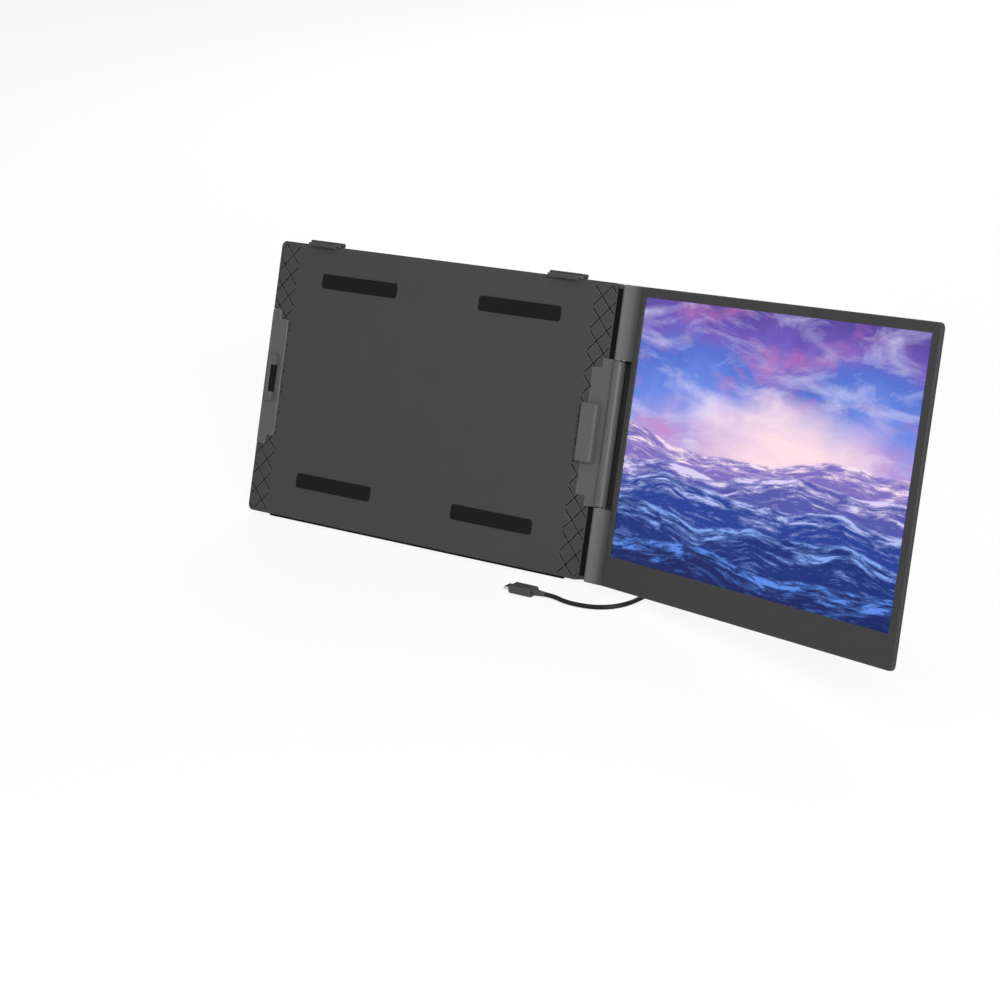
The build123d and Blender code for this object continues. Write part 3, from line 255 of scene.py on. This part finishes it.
def newMaterial(name):
    material = bpy.data.materials.new(name)
    material.use_nodes = True
    tree = material.node_tree
    return material, tree, tree.nodes["Principled BSDF"]


# a solid finish: two close colours mottled together, a painted highlight along its edges, grain and uneven gloss
def makeFinish(name, look):
    material, tree, shader = newMaterial(name)
    detail = placeGroup(tree, surfaceGroup, {
        "Edge Radius": look["edgeRadius"], "Grain Scale": look["grainScale"],
        "Grain Depth": look["grainDepth"], "Mottle Scale": look["mottleScale"],
        "Stretch": look.get("stretch", (1.0, 1.0, 1.0)),
    })
    share = surfaceSettings["mottleShare"]
    blend = mathNode(tree, "ADD", mathNode(tree, "MULTIPLY", detail.outputs["Mottle"], share),
                     mathNode(tree, "MULTIPLY", detail.outputs["Grain"], 1 - share))
    body = mixColours(tree, blend, look["dark"], look["light"])
    # the edge colour is painted over edges and corners as a highlight
    highlightOnEdges = mathNode(tree, "MULTIPLY", detail.outputs["Edge"], look["edgeHighlightShare"])
    tree.links.new(mixColours(tree, highlightOnEdges, body, look["edge"]), shader.inputs["Base Color"])
    rough, spread = look["rough"], look["roughSpread"]
    tree.links.new(mapRange(tree, blend, rough - spread, rough + spread), shader.inputs["Roughness"])
    tree.links.new(detail.outputs["Normal"], shader.inputs["Normal"])
    shader.inputs["Metallic"].default_value = look.get("metal", 0.0)
    shader.inputs["Specular IOR Level"].default_value = look.get("shine", 0.5)
    return material


# how far the surface lies from a place along one of its axes
def alongAxis(tree, place, axis):
    where = tree.nodes.new("ShaderNodeTexCoord")
    along = tree.nodes.new("ShaderNodeVectorMath")
    along.operation = "DOT_PRODUCT"
    tree.links.new(where.outputs["Object"], along.inputs[0])
    along.inputs[1].default_value = place.col[axis].xyz
    return mathNode(tree, "SUBTRACT", along.outputs["Value"], place.col[3].xyz.dot(place.col[axis].xyz))


# lays a colour over a finish where the mask is 1
def colourWhere(material, mask, colour):
    tree = material.node_tree
    socket = tree.nodes["Principled BSDF"].inputs["Base Color"]
    below = socket.links[0].from_socket
    tree.links.new(mixColours(tree, mask, below, colour), socket)


# painted shade: the frame's side faces black, and the floors of its cut lines dark, where shade falls
def addFramePaintedShade(material, look):
    tree = material.node_tree
    place = tree.nodes.new("ShaderNodeTexCoord")
    split = tree.nodes.new("ShaderNodeSeparateXYZ")
    tree.links.new(place.outputs["Object"], split.inputs["Vector"])
    outward = mathNode(tree, "ABSOLUTE", split.outputs["X"], 0.0)
    # painted shade: the side faces are coloured black
    colourWhere(material, mathNode(tree, "GREATER_THAN", outward, look["sideFrom"]), look["side"])
    # painted shade: the floors of the cut lines below the front face are coloured dark
    depth = alongAxis(tree, framePlace, 2)
    inLine = mathNode(tree, "LESS_THAN", depth, -look["lineFrom"])
    inLine = mathNode(tree, "MULTIPLY", inLine, mathNode(tree, "GREATER_THAN", depth, -look["lineTo"]))
    colourWhere(material, mathNode(tree, "MULTIPLY", inLine, look["lineShare"]), look["line"])


# hollows a finish like a soft fillet: height is the square of the distance along the first axis
# from where the hollow ends, and stays level before where it starts
def addHollow(material, place, look):
    tree = material.node_tree
    socket = tree.nodes["Principled BSDF"].inputs["Normal"]
    reach = mathNode(tree, "MAXIMUM", alongAxis(tree, place, 0), look["start"])
    reach = mathNode(tree, "SUBTRACT", reach, look["end"])
    bump = tree.nodes.new("ShaderNodeBump")
    bump.inputs["Strength"].default_value = 1.0
    bump.inputs["Distance"].default_value = 1.0
    tree.links.new(mathNode(tree, "MULTIPLY", mathNode(tree, "MULTIPLY", reach, reach), look["bend"]),
                   bump.inputs["Height"])
    tree.links.new(socket.links[0].from_socket, bump.inputs["Normal"])
    tree.links.new(bump.outputs["Normal"], socket)


# paints a soft shade into a finish, growing darker along the first axis of a place
def addPaintedShade(material, place, look):
    mask = mapRange(material.node_tree, alongAxis(material.node_tree, place, 0), 0.0, look["share"],
                    look["from"], look["to"])
    colourWhere(material, mask, look["colour"])


# a neutral colour, given as it looks on a screen from 0 to 255
def grey(value):
    share = value / 255
    linear = share / 12.92 if share <= 0.04045 else ((share + 0.055) / 1.055) ** 2.4
    return (linear, linear, linear * 1.01, 1.0)


# the edge colours below are painted highlights laid along each finish's edges and corners
finishes = {
    "framePlastic": {
        "dark": grey(64), "light": grey(70), "edge": grey(150), "edgeHighlightShare": 0.8, "edgeRadius": 0.0005,
        "grainScale": 2600.0, "grainDepth": 0.35, "mottleScale": 30.0, "rough": 0.55, "roughSpread": 0.08,
        "shine": 0.05,
    },
    "monitorPlastic": {
        "dark": grey(49), "light": grey(53), "edge": grey(94), "edgeHighlightShare": 0.7, "edgeRadius": 0.0005,
        "grainScale": 3200.0, "grainDepth": 0.2, "mottleScale": 18.0, "rough": 0.5, "roughSpread": 0.06,
        "shine": 0.15,
    },
    "armPaint": {
        "dark": grey(78), "light": grey(84), "edge": grey(190), "edgeHighlightShare": 0.8, "edgeRadius": 0.0005,
        "grainScale": 3600.0, "grainDepth": 0.12, "mottleScale": 40.0, "rough": 0.38, "roughSpread": 0.05,
        "shine": 0.24,
    },
    "knucklePaint": {
        "dark": grey(96), "light": grey(102), "edge": grey(165), "edgeHighlightShare": 0.5, "edgeRadius": 0.0009,
        "grainScale": 3600.0, "grainDepth": 0.1, "mottleScale": 40.0, "rough": 0.4, "roughSpread": 0.05,
        "shine": 0.1,
    },
    "clipPlastic": {
        "dark": grey(80), "light": grey(86), "edge": grey(130), "edgeHighlightShare": 0.6, "edgeRadius": 0.0006,
        "grainScale": 3000.0, "grainDepth": 0.25, "mottleScale": 60.0, "rough": 0.5, "roughSpread": 0.06,
        "shine": 0.2,
    },
    "silicone": {
        "dark": grey(17), "light": grey(22), "edge": grey(40), "edgeHighlightShare": 0.4, "edgeRadius": 0.0004,
        "grainScale": 1800.0, "grainDepth": 0.5, "mottleScale": 50.0, "rough": 0.8, "roughSpread": 0.06,
        "shine": 0.1,
    },
    "plainSteel": {
        "dark": grey(150), "light": grey(170), "edge": grey(210), "edgeHighlightShare": 0.5, "edgeRadius": 0.0002,
        "grainScale": 900.0, "grainDepth": 0.3, "mottleScale": 80.0, "rough": 0.32, "roughSpread": 0.08,
        "metal": 1.0,
    },
    "blackScrew": {
        "dark": grey(30), "light": grey(38), "edge": grey(120), "edgeHighlightShare": 0.7, "edgeRadius": 0.00015,
        "grainScale": 2500.0, "grainDepth": 0.2, "mottleScale": 200.0, "rough": 0.35, "roughSpread": 0.08,
        "metal": 0.8,
    },
    "standAluminium": {
        "dark": grey(84), "light": grey(108), "edge": grey(190), "edgeHighlightShare": 0.8, "edgeRadius": 0.0005,
        "grainScale": 5200.0, "grainDepth": 0.35, "mottleScale": 900.0, "rough": 0.4, "roughSpread": 0.1,
        "metal": 1.0, "stretch": (0.03, 1.0, 1.0),
    },
    "whitePlastic": {
        "dark": grey(190), "light": grey(205), "edge": grey(225), "edgeHighlightShare": 0.4, "edgeRadius": 0.0003,
        "grainScale": 2500.0, "grainDepth": 0.2, "mottleScale": 40.0, "rough": 0.5, "roughSpread": 0.05,
    },
    "circuitBoard": {
        "dark": (0.006, 0.05, 0.018, 1), "light": (0.012, 0.085, 0.03, 1), "edge": (0.25, 0.22, 0.12, 1),
        "edgeHighlightShare": 0.8, "edgeRadius": 0.0002, "grainScale": 900.0, "grainDepth": 0.4,
        "mottleScale": 160.0, "rough": 0.35, "roughSpread": 0.1,
    },
    "buttonPlastic": {
        "dark": grey(22), "light": grey(26), "edge": grey(90), "edgeHighlightShare": 0.7, "edgeRadius": 0.0003,
        "grainScale": 4000.0, "grainDepth": 0.05, "mottleScale": 90.0, "rough": 0.24, "roughSpread": 0.04,
        "shine": 0.4,
    },
    "cableJacket": {
        "dark": grey(9), "light": grey(14), "edge": grey(18), "edgeHighlightShare": 0.2, "edgeRadius": 0.0002,
        "grainScale": 2200.0, "grainDepth": 0.15, "mottleScale": 90.0, "rough": 0.45, "roughSpread": 0.06,
        "shine": 0.2,
    },
    "plugPlastic": {
        "dark": grey(58), "light": grey(64), "edge": grey(110), "edgeHighlightShare": 0.4, "edgeRadius": 0.0009,
        "grainScale": 3000.0, "grainDepth": 0.3, "mottleScale": 80.0, "rough": 0.5, "roughSpread": 0.05,
        "shine": 0.25,
    },
    "brightNickel": {
        "dark": grey(185), "light": grey(200), "edge": grey(235), "edgeHighlightShare": 0.5, "edgeRadius": 0.0003,
        "grainScale": 1500.0, "grainDepth": 0.08, "mottleScale": 150.0, "rough": 0.2, "roughSpread": 0.06,
        "metal": 1.0,
    },
    "markInk": {
        "dark": grey(150), "light": grey(165), "edge": grey(165), "edgeHighlightShare": 0.0, "edgeRadius": 0.0001,
        "grainScale": 4000.0, "grainDepth": 0.1, "mottleScale": 300.0, "rough": 0.6, "roughSpread": 0.05,
        "shine": 0.2,
    },
}
made = {name: makeFinish(name, look) for name, look in finishes.items()}
# painted shade for the frame: black side faces and dark cut lines
framePaintedShade = {
    "sideFrom": 0.1803, "side": grey(4), "lineFrom": 0.00005, "lineTo": 0.00045, "lineShare": 1.0,
    "line": grey(4),
}
addFramePaintedShade(made["framePlastic"], framePaintedShade)
knuckleHollow = {"start": 0.0007, "end": 0.0085, "bend": 44.0}
addHollow(made["knucklePaint"], monitorPlace, knuckleHollow)
# painted shade: the knuckle's side towards the bezel darkened as if turned from the light
knucklePaintedShade = {"from": 0.0108, "to": 0.0165, "share": 0.9, "colour": grey(52)}
addPaintedShade(made["knucklePaint"], monitorPlace, knucklePaintedShade)


# the lit picture: soft clouds over silk waves, in blue, violet and pink
pictureSettings = {
    "left": 0.0231, "low": 0.0234, "width": 0.3442, "height": 0.1936, "proud": 0.00003, "points": (33, 19),
    "strength": 1.0, "unlit": grey(10), "gloss": 0.35, "shine": 0.06,
    "sky": [
        (0.0, (0.30, 0.22, 0.60)), (0.40, (0.50, 0.30, 0.66)), (0.54, (0.42, 0.36, 0.78)),
        (0.66, (0.14, 0.24, 0.76)), (0.78, (0.08, 0.16, 0.62)), (0.90, (0.16, 0.10, 0.50)),
        (1.0, (0.10, 0.06, 0.36)),
    ],
    "blush": (0.62, 0.20, 0.48), "mist": (0.62, 0.62, 0.92), "glow": (1.0, 0.74, 0.80),
    "driftNoise": {"scale": 2.2, "detail": 6.0, "stretch": (1.6, 1.0, 1.0), "warp": 0.6},
    "driftBy": 0.22,
    "blushNoise": {"scale": 2.6, "detail": 7.0, "stretch": (1.4, 2.0, 1.0), "shift": (7.3, 2.1, 0), "rough": 0.6,
                   "warp": 0.3},
    # how much is laid over, and the noise at which it starts and is full
    "blushOver": (0.75, 0.50, 0.72),
    "mistNoise": {"scale": 3.4, "detail": 9.0, "stretch": (1.3, 2.4, 1.0), "shift": (3.1, 0.4, 0), "rough": 0.6,
                  "warp": 0.5},
    "mistOver": (0.8, 0.48, 0.72),
    "glowAt": (0.58, 0.52), "glowSize": (0.36, 0.22), "glowRagged": 0.5,
    # each wave: crest height, swell, waves across, deep colour, crest colour
    "waves": [
        (0.50, 0.13, 2.3, (0.20, 0.15, 0.52), (0.94, 0.74, 0.88)),
        (0.43, 0.13, 3.1, (0.08, 0.09, 0.40), (0.70, 0.62, 0.92)),
        (0.33, 0.12, 2.7, (0.012, 0.045, 0.30), (0.44, 0.50, 0.92)),
        (0.22, 0.11, 3.4, (0.004, 0.024, 0.19), (0.22, 0.38, 0.90)),
        (0.10, 0.08, 2.9, (0.002, 0.012, 0.12), (0.10, 0.26, 0.82)),
    ],
    "crestNoise": {"detail": 2.0, "stretch": (1.0, 0.1, 1.0), "rough": 0.4},
    "foldNoise": {"scale": 9.0, "detail": 10.0, "stretch": (1.0, 4.5, 1.0), "rough": 0.7, "warp": 0.35},
    "fadeByDepth": 3.6, "fadeByFold": (-1.1, 1.25), "crestSoft": 0.008, "middleDeep": 0.65,
}


def colourRamp(tree, value, stops):
    ramp = tree.nodes.new("ShaderNodeValToRGB")
    tree.links.new(value, ramp.inputs["Fac"])
    elements = ramp.color_ramp.elements
    while len(elements) < len(stops):
        elements.new(0.5)
    for element, (place, colour) in zip(elements, stops):
        element.position = place
        element.color = (*colour, 1)
    return ramp.outputs["Color"]


# noise over a stretched and shifted vector
def noiseAt(tree, vector, scale, detail, stretch=(1, 1, 1), shift=(0, 0, 0), rough=0.5, warp=0.0):
    mapping = tree.nodes.new("ShaderNodeMapping")
    mapping.inputs["Scale"].default_value = stretch
    mapping.inputs["Location"].default_value = shift
    tree.links.new(vector, mapping.inputs["Vector"])
    noise = tree.nodes.new("ShaderNodeTexNoise")
    noise.inputs["Scale"].default_value = scale
    noise.inputs["Detail"].default_value = detail
    noise.inputs["Roughness"].default_value = rough
    noise.inputs["Distortion"].default_value = warp
    tree.links.new(mapping.outputs["Vector"], noise.inputs["Vector"])
    return noise.outputs["Fac"]


# Sky: a ramp over height, moved by slow noise, with blush and mist laid over it where two more
# noises are high. Glow: one less the squared distance from its middle, in shares of its size,
# with its edge made ragged by the mist's noise.
# Wave: its crest is a height plus noise along U; depth is how far a point lies below the crest.
# The wave covers what lies behind it, pale at its crest and deep under it, and its folds are
# noise over U and depth, so that they run along the crest.
def makePicture(look):
    material, tree, shader = newMaterial("litPicture")
    uv = tree.nodes.new("ShaderNodeUVMap")
    uv.uv_map = "surface"
    flat = uv.outputs["UV"]
    split = tree.nodes.new("ShaderNodeSeparateXYZ")
    tree.links.new(flat, split.inputs["Vector"])
    across, height = split.outputs["X"], split.outputs["Y"]
    drift = mapRange(tree, noiseAt(tree, flat, **look["driftNoise"]), -look["driftBy"], look["driftBy"])
    picture = colourRamp(tree, mathNode(tree, "ADD", height, drift), look["sky"])
    for name in ("blush", "mist"):
        share, start, full = look[name + "Over"]
        cloud = noiseAt(tree, flat, **look[name + "Noise"])
        picture = mixColours(tree, mapRange(tree, cloud, 0.0, share, start, full), picture, (*look[name], 1))
    (glowU, glowV), (wide, high) = look["glowAt"], look["glowSize"]
    awayU = mathNode(tree, "MULTIPLY", mathNode(tree, "SUBTRACT", across, glowU), 1 / wide)
    awayV = mathNode(tree, "MULTIPLY", mathNode(tree, "SUBTRACT", height, glowV), 1 / high)
    away = mathNode(tree, "ADD", mathNode(tree, "MULTIPLY", awayU, awayU), mathNode(tree, "MULTIPLY", awayV, awayV))
    away = mathNode(tree, "ADD", away, mapRange(tree, cloud, look["glowRagged"], -look["glowRagged"]))
    picture = mixColours(tree, mapRange(tree, away, 1.0, 0.0), picture, (*look["glow"], 1))
    for number, (level, swell, waves, deep, crest) in enumerate(look["waves"]):
        shift = (1.7 * number, 5.3 + number, 0.0)
        line = noiseAt(tree, flat, waves, shift=shift, **look["crestNoise"])
        depth = mathNode(tree, "SUBTRACT", mathNode(tree, "ADD", mapRange(tree, line, -swell, swell), level), height)
        together = tree.nodes.new("ShaderNodeCombineXYZ")
        tree.links.new(across, together.inputs["X"])
        tree.links.new(depth, together.inputs["Y"])
        folds = noiseAt(tree, together.outputs["Vector"], shift=shift, **look["foldNoise"])
        fade = mathNode(tree, "ADD", mathNode(tree, "MULTIPLY", depth, look["fadeByDepth"]),
                        mapRange(tree, folds, *look["fadeByFold"]))
        middle = tuple(first + look["middleDeep"] * (second - first) for first, second in zip(crest, deep))
        shade = colourRamp(tree, fade, [
            (0.0, crest), (0.12, middle), (0.34, deep), (0.60, deep), (0.80, middle), (1.0, deep),
        ])
        picture = mixColours(tree, mapRange(tree, depth, 0.0, 1.0, 0.0, look["crestSoft"]), picture, shade)
    shader.inputs["Base Color"].default_value = look["unlit"]
    shader.inputs["Roughness"].default_value = look["gloss"]
    shader.inputs["Specular IOR Level"].default_value = look["shine"]
    tree.links.new(picture, shader.inputs["Emission Color"])
    shader.inputs["Emission Strength"].default_value = look["strength"]
    return material


litPicture = makePicture(pictureSettings)
print("finishes made")

# which finish each CAD node takes
nodeFinish = {
    "framePlastic": ["frame_front_plate", "frame_rear_cover", "top_clip_left", "top_clip_right"],
    "armPaint": ["right_arm_plate", "left_arm_plate"],
    "knucklePaint": ["upper_knuckle", "lower_knuckle"],
    "clipPlastic": ["right_clip", "left_clip"],
    "monitorPlastic": ["monitor_bezel", "monitor_rear_cover", "electronics_cover"],
    "silicone": ["grip_pads", "bottom_foot", "right_clip_pad", "left_clip_pad", "kickstand_foot", "speakers"],
    "plainSteel": ["frame_stiffener", "kickstand_pins", "clip_springs_left", "clip_springs_right", "hinge_pins",
                   "panel_tray", "upper_hinge_bracket", "lower_hinge_bracket", "board_screws"],
    "blackScrew": ["frame_screws", "hinge_screws", "cover_screws"],
    "standAluminium": ["kickstand_plate"],
    "whitePlastic": ["right_arm_guides", "left_arm_guides", "backlight_unit"],
    "circuitBoard": ["main_board"],
    "buttonPlastic": ["power_button", "menu_button", "minus_button", "plus_button", "tact_switches", "lcd_panel"],
    "cableJacket": ["usb_cable"],
    "plugPlastic": ["laptop_plug_body", "laptop_plug_relief", "monitor_plug_body", "monitor_plug_relief"],
    "brightNickel": ["usb_c_ports", "mini_hdmi_port", "laptop_plug_nose", "monitor_plug_nose"],
}


# every slot of a CAD node gets the finish
def setFinish(node, material):
    slots = cadNodes[node].material_slots
    if slots:
        for slot in slots:
            slot.material = material
    else:
        cadNodes[node].data.materials.append(material)


for finish, names in nodeFinish.items():
    for name in names:
        setFinish(name, made[finish])
print("CAD nodes finished")


# a flat grid just in front of the panel's glass, with U across it and V up it
def makeScreenFace(look):
    u, v = np.meshgrid(*[np.linspace(0, 1, count) for count in look["points"]])
    glass = localPoints("lcd_panel", monitorPlace)[:, 2].max()
    local = np.stack([look["left"] + u * look["width"], look["low"] + v * look["height"],
                      np.full_like(u, glass + look["proud"])], -1)
    mesh = meshFromGrids("screenFace", [fromPlace(local, monitorPlace)], uv=np.stack([u, v], -1))
    return addPiece("screenFace", mesh, litPicture)


screenFace = makeScreenFace(pictureSettings)
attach(screenFace, "monitor")
print("screen lit")

# marks printed on the back of the electronics box, above the buttons: plain signs for what each does
markSettings = {
    "size": 0.0026, "line": 0.0004, "above": 0.0045, "proud": 0.00003, "turn": (55, 305), "stemUp": 0.4, "stem": 0.5,
}


# a flat bar about a point, seen from behind: width along -X and height along Y of the monitor's axes
def barGrid(centre, width, height):
    u, v = np.meshgrid((width / 2, -width / 2), (-height / 2, height / 2))
    return np.stack([centre[0] + u, centre[1] + v, np.full_like(u, centre[2])], -1)


# a flat ring about a point between two angles from its top, as seen from behind
def ringGrid(centre, radius, line, turn):
    angle, reach = np.meshgrid(np.radians(np.linspace(*turn, 33)), (radius - line / 2, radius + line / 2))
    return np.stack([centre[0] - reach * np.sin(angle), centre[1] + reach * np.cos(angle),
                     np.full_like(angle, centre[2])], -1)[:, ::-1]


def makeMarks(look):
    box = localPoints("electronics_cover", monitorPlace)
    size, line = look["size"], look["line"]
    grids = []
    for node in ("plus_button", "minus_button", "menu_button", "power_button"):
        button = localPoints(node, monitorPlace)
        middle = (button[:, 0].min() + button[:, 0].max()) / 2
        centre = (middle, box[:, 1].min() + look["above"], box[:, 2].min() - look["proud"])
        if node in ("plus_button", "minus_button"):
            grids.append(barGrid(centre, size, line))
        if node == "plus_button":
            for step in ((size + line) / 4, -(size + line) / 4):
                grids.append(barGrid((centre[0], centre[1] + step, centre[2]), line, (size - line) / 2))
        if node == "menu_button":
            grids += [barGrid((centre[0], centre[1] + step * size / 3, centre[2]), size, line) for step in (-1, 0, 1)]
        if node == "power_button":
            grids.append(ringGrid(centre, size / 2, line, look["turn"]))
            stemCentre = (centre[0], centre[1] + size * look["stemUp"], centre[2])
            grids.append(barGrid(stemCentre, line, size * look["stem"]))
    mesh = meshFromGrids("buttonMarks", [fromPlace(grid, monitorPlace) for grid in grids])
    return addPiece("buttonMarks", mesh, made["markInk"], smooth=False)


buttonMarks = makeMarks(markSettings)
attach(buttonMarks, "monitor")
print("marks printed")

# lead: one smooth line from the loose plug's sleeve, round a loose loop, up to the socket
leadSettings = {
    "diameter": 0.0036,
    "length": 0.215,
    "points": [
        (176.0, -40.4, 3.5),
        (184.0, -40.4, 3.5),
        (194.5, -41.8, 2.1),
        (206.5, -42.5, 2.0),
        (219.0, -41.3, 2.0),
        (229.2, -37.5, 2.0),
        (237.0, -30.8, 2.0),
        (241.4, -21.5, 2.0),
        (242.4, -10.0, 2.0),
        (243.0, 2.0, 2.0),
        (246.5, 14.5, 2.0),
        (254.5, 25.0, 2.0),
        (267.0, 29.5, 2.0),
        (279.0, 24.0, 2.0),
        (284.0, 11.5, 2.0),
        (280.0, 0.0, 2.6),
        (272.5, -8.5, 6.5),
        (267.0, -13.5, 13.5),
        (265.41, -14.01, 23.21),
        (265.41, -10.57, 32.60),
    ],
    "between": 12,
    "around": 20,
    "blendFrom": (0.211, -0.047, 0.009),
}


# points read along a NURBS line that has the route's points as its control points
def leadLine(look):
    curve = bpy.data.curves.new("leadLine", "CURVE")
    curve.dimensions = "3D"
    curve.resolution_u = look["between"]
    spline = curve.splines.new("NURBS")
    spline.points.add(len(look["points"]) - 1)
    for point, place in zip(spline.points, look["points"]):
        point.co = (*[value / 1000 for value in place], 1)
    spline.order_u = 3
    spline.use_endpoint_u = True
    holder = bpy.data.objects.new("leadLine", curve)
    bpy.context.scene.collection.objects.link(holder)
    bpy.context.view_layer.update()
    mesh = bpy.data.meshes.new_from_object(holder)
    line = np.array([vertex.co[:] for vertex in mesh.vertices])
    bpy.data.objects.remove(holder)
    return line


# a round tube: a circle carried along the line on a frame that turns as little as it can
def tubeAlong(name, line, radius, around):
    tangent = np.gradient(line, axis=0)
    tangent /= np.linalg.norm(tangent, axis=1)[:, None]
    side = np.cross(tangent[0], (0, 0, 1.0))
    sides = []
    for direction in tangent:
        side = side - direction * (side @ direction)
        side = side / np.linalg.norm(side)
        sides.append(side)
    sides = np.array(sides)
    tops = np.cross(tangent, sides)
    angle = np.linspace(0, 2 * pi, around, endpoint=False)[None, :, None]
    points = line[:, None] + radius * (np.cos(angle) * sides[:, None] + np.sin(angle) * tops[:, None])
    return meshFromGrids(name, [points], closed=True)


line = leadLine(leadSettings)
leadMesh = tubeAlong("usbLead", line, leadSettings["diameter"] / 2, leadSettings["around"])
usbLead = addPiece("usbLead", leadMesh, made["cableJacket"])
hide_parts("usb_cable")
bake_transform(usbLead)
print("lead laid")

# floor, world and lamps
studio = {
    "floor": (0.9, 0.9, 0.9, 1), "floorSize": 12.0, "floorWhite": 0.88, "floorRough": 0.7, "floorShine": 0.1,
    "world": 0.24, "lampsAim": (0.15, 0, 0.1),
    # each lamp: place, width and power
    "lamps": {
        "key": ((2.3, -1.6, 1.3), 0.8, 78.0),
        "fill": ((0.1, -0.8, 2.6), 1.8, 14.0),
        "rim": ((-1.0, 1.9, 1.5), 1.6, 32.0),
    },
}


# a share where the ray is the camera's, a mirror's or a glass's, and 0 for every other ray
def cameraShare(tree, share):
    path = tree.nodes.new("ShaderNodeLightPath")
    seen = mathNode(tree, "ADD", path.outputs["Is Camera Ray"], path.outputs["Is Glossy Ray"])
    seen = mathNode(tree, "ADD", seen, path.outputs["Is Transmission Ray"])
    return mathNode(tree, "MULTIPLY", mathNode(tree, "MINIMUM", seen, 1.0), share)


# shows plain white in place of a share of a shader, where the ray is the camera's, a mirror's or a glass's
def showWhite(tree, shaderSocket, outputNode, share):
    white = tree.nodes.new("ShaderNodeEmission")
    mix = tree.nodes.new("ShaderNodeMixShader")
    tree.links.new(cameraShare(tree, share), mix.inputs["Fac"])
    tree.links.new(shaderSocket, mix.inputs[1])
    tree.links.new(white.outputs["Emission"], mix.inputs[2])
    tree.links.new(mix.outputs["Shader"], outputNode.inputs["Surface"])


def makeStudio(look):
    world = bpy.data.worlds.new("studio")
    world.use_nodes = True
    tree = world.node_tree
    background = tree.nodes["Background"]
    background.inputs["Color"].default_value = (1, 1, 1, 1)
    background.inputs["Strength"].default_value = look["world"]
    showWhite(tree, background.outputs["Background"], tree.nodes["World Output"], 1.0)
    bpy.context.scene.world = world
    half = look["floorSize"] / 2
    u, v = np.meshgrid(np.linspace(-half, half, 2), np.linspace(-half, half, 2))
    material, tree, shader = newMaterial("paleFloor")
    shader.inputs["Base Color"].default_value = look["floor"]
    shader.inputs["Roughness"].default_value = look["floorRough"]
    shader.inputs["Specular IOR Level"].default_value = look["floorShine"]
    showWhite(tree, shader.outputs["BSDF"], tree.nodes["Material Output"], look["floorWhite"])
    floorMesh = meshFromGrids("floor", [np.stack([u, v, np.zeros_like(u)], -1)])
    addPiece("floor", floorMesh, material, smooth=False)
    for name, (place, width, power) in look["lamps"].items():
        lamp = bpy.data.lights.new(name, "AREA")
        lamp.size = width
        lamp.energy = power
        holder = bpy.data.objects.new(name, lamp)
        holder.location = place
        holder.rotation_euler = (Vector(look["lampsAim"]) - Vector(place)).to_track_quat("-Z", "Y").to_euler()
        bpy.context.scene.collection.objects.link(holder)


makeStudio(studio)
bpy.context.scene.view_settings.view_transform = "Standard"
print("studio lit")
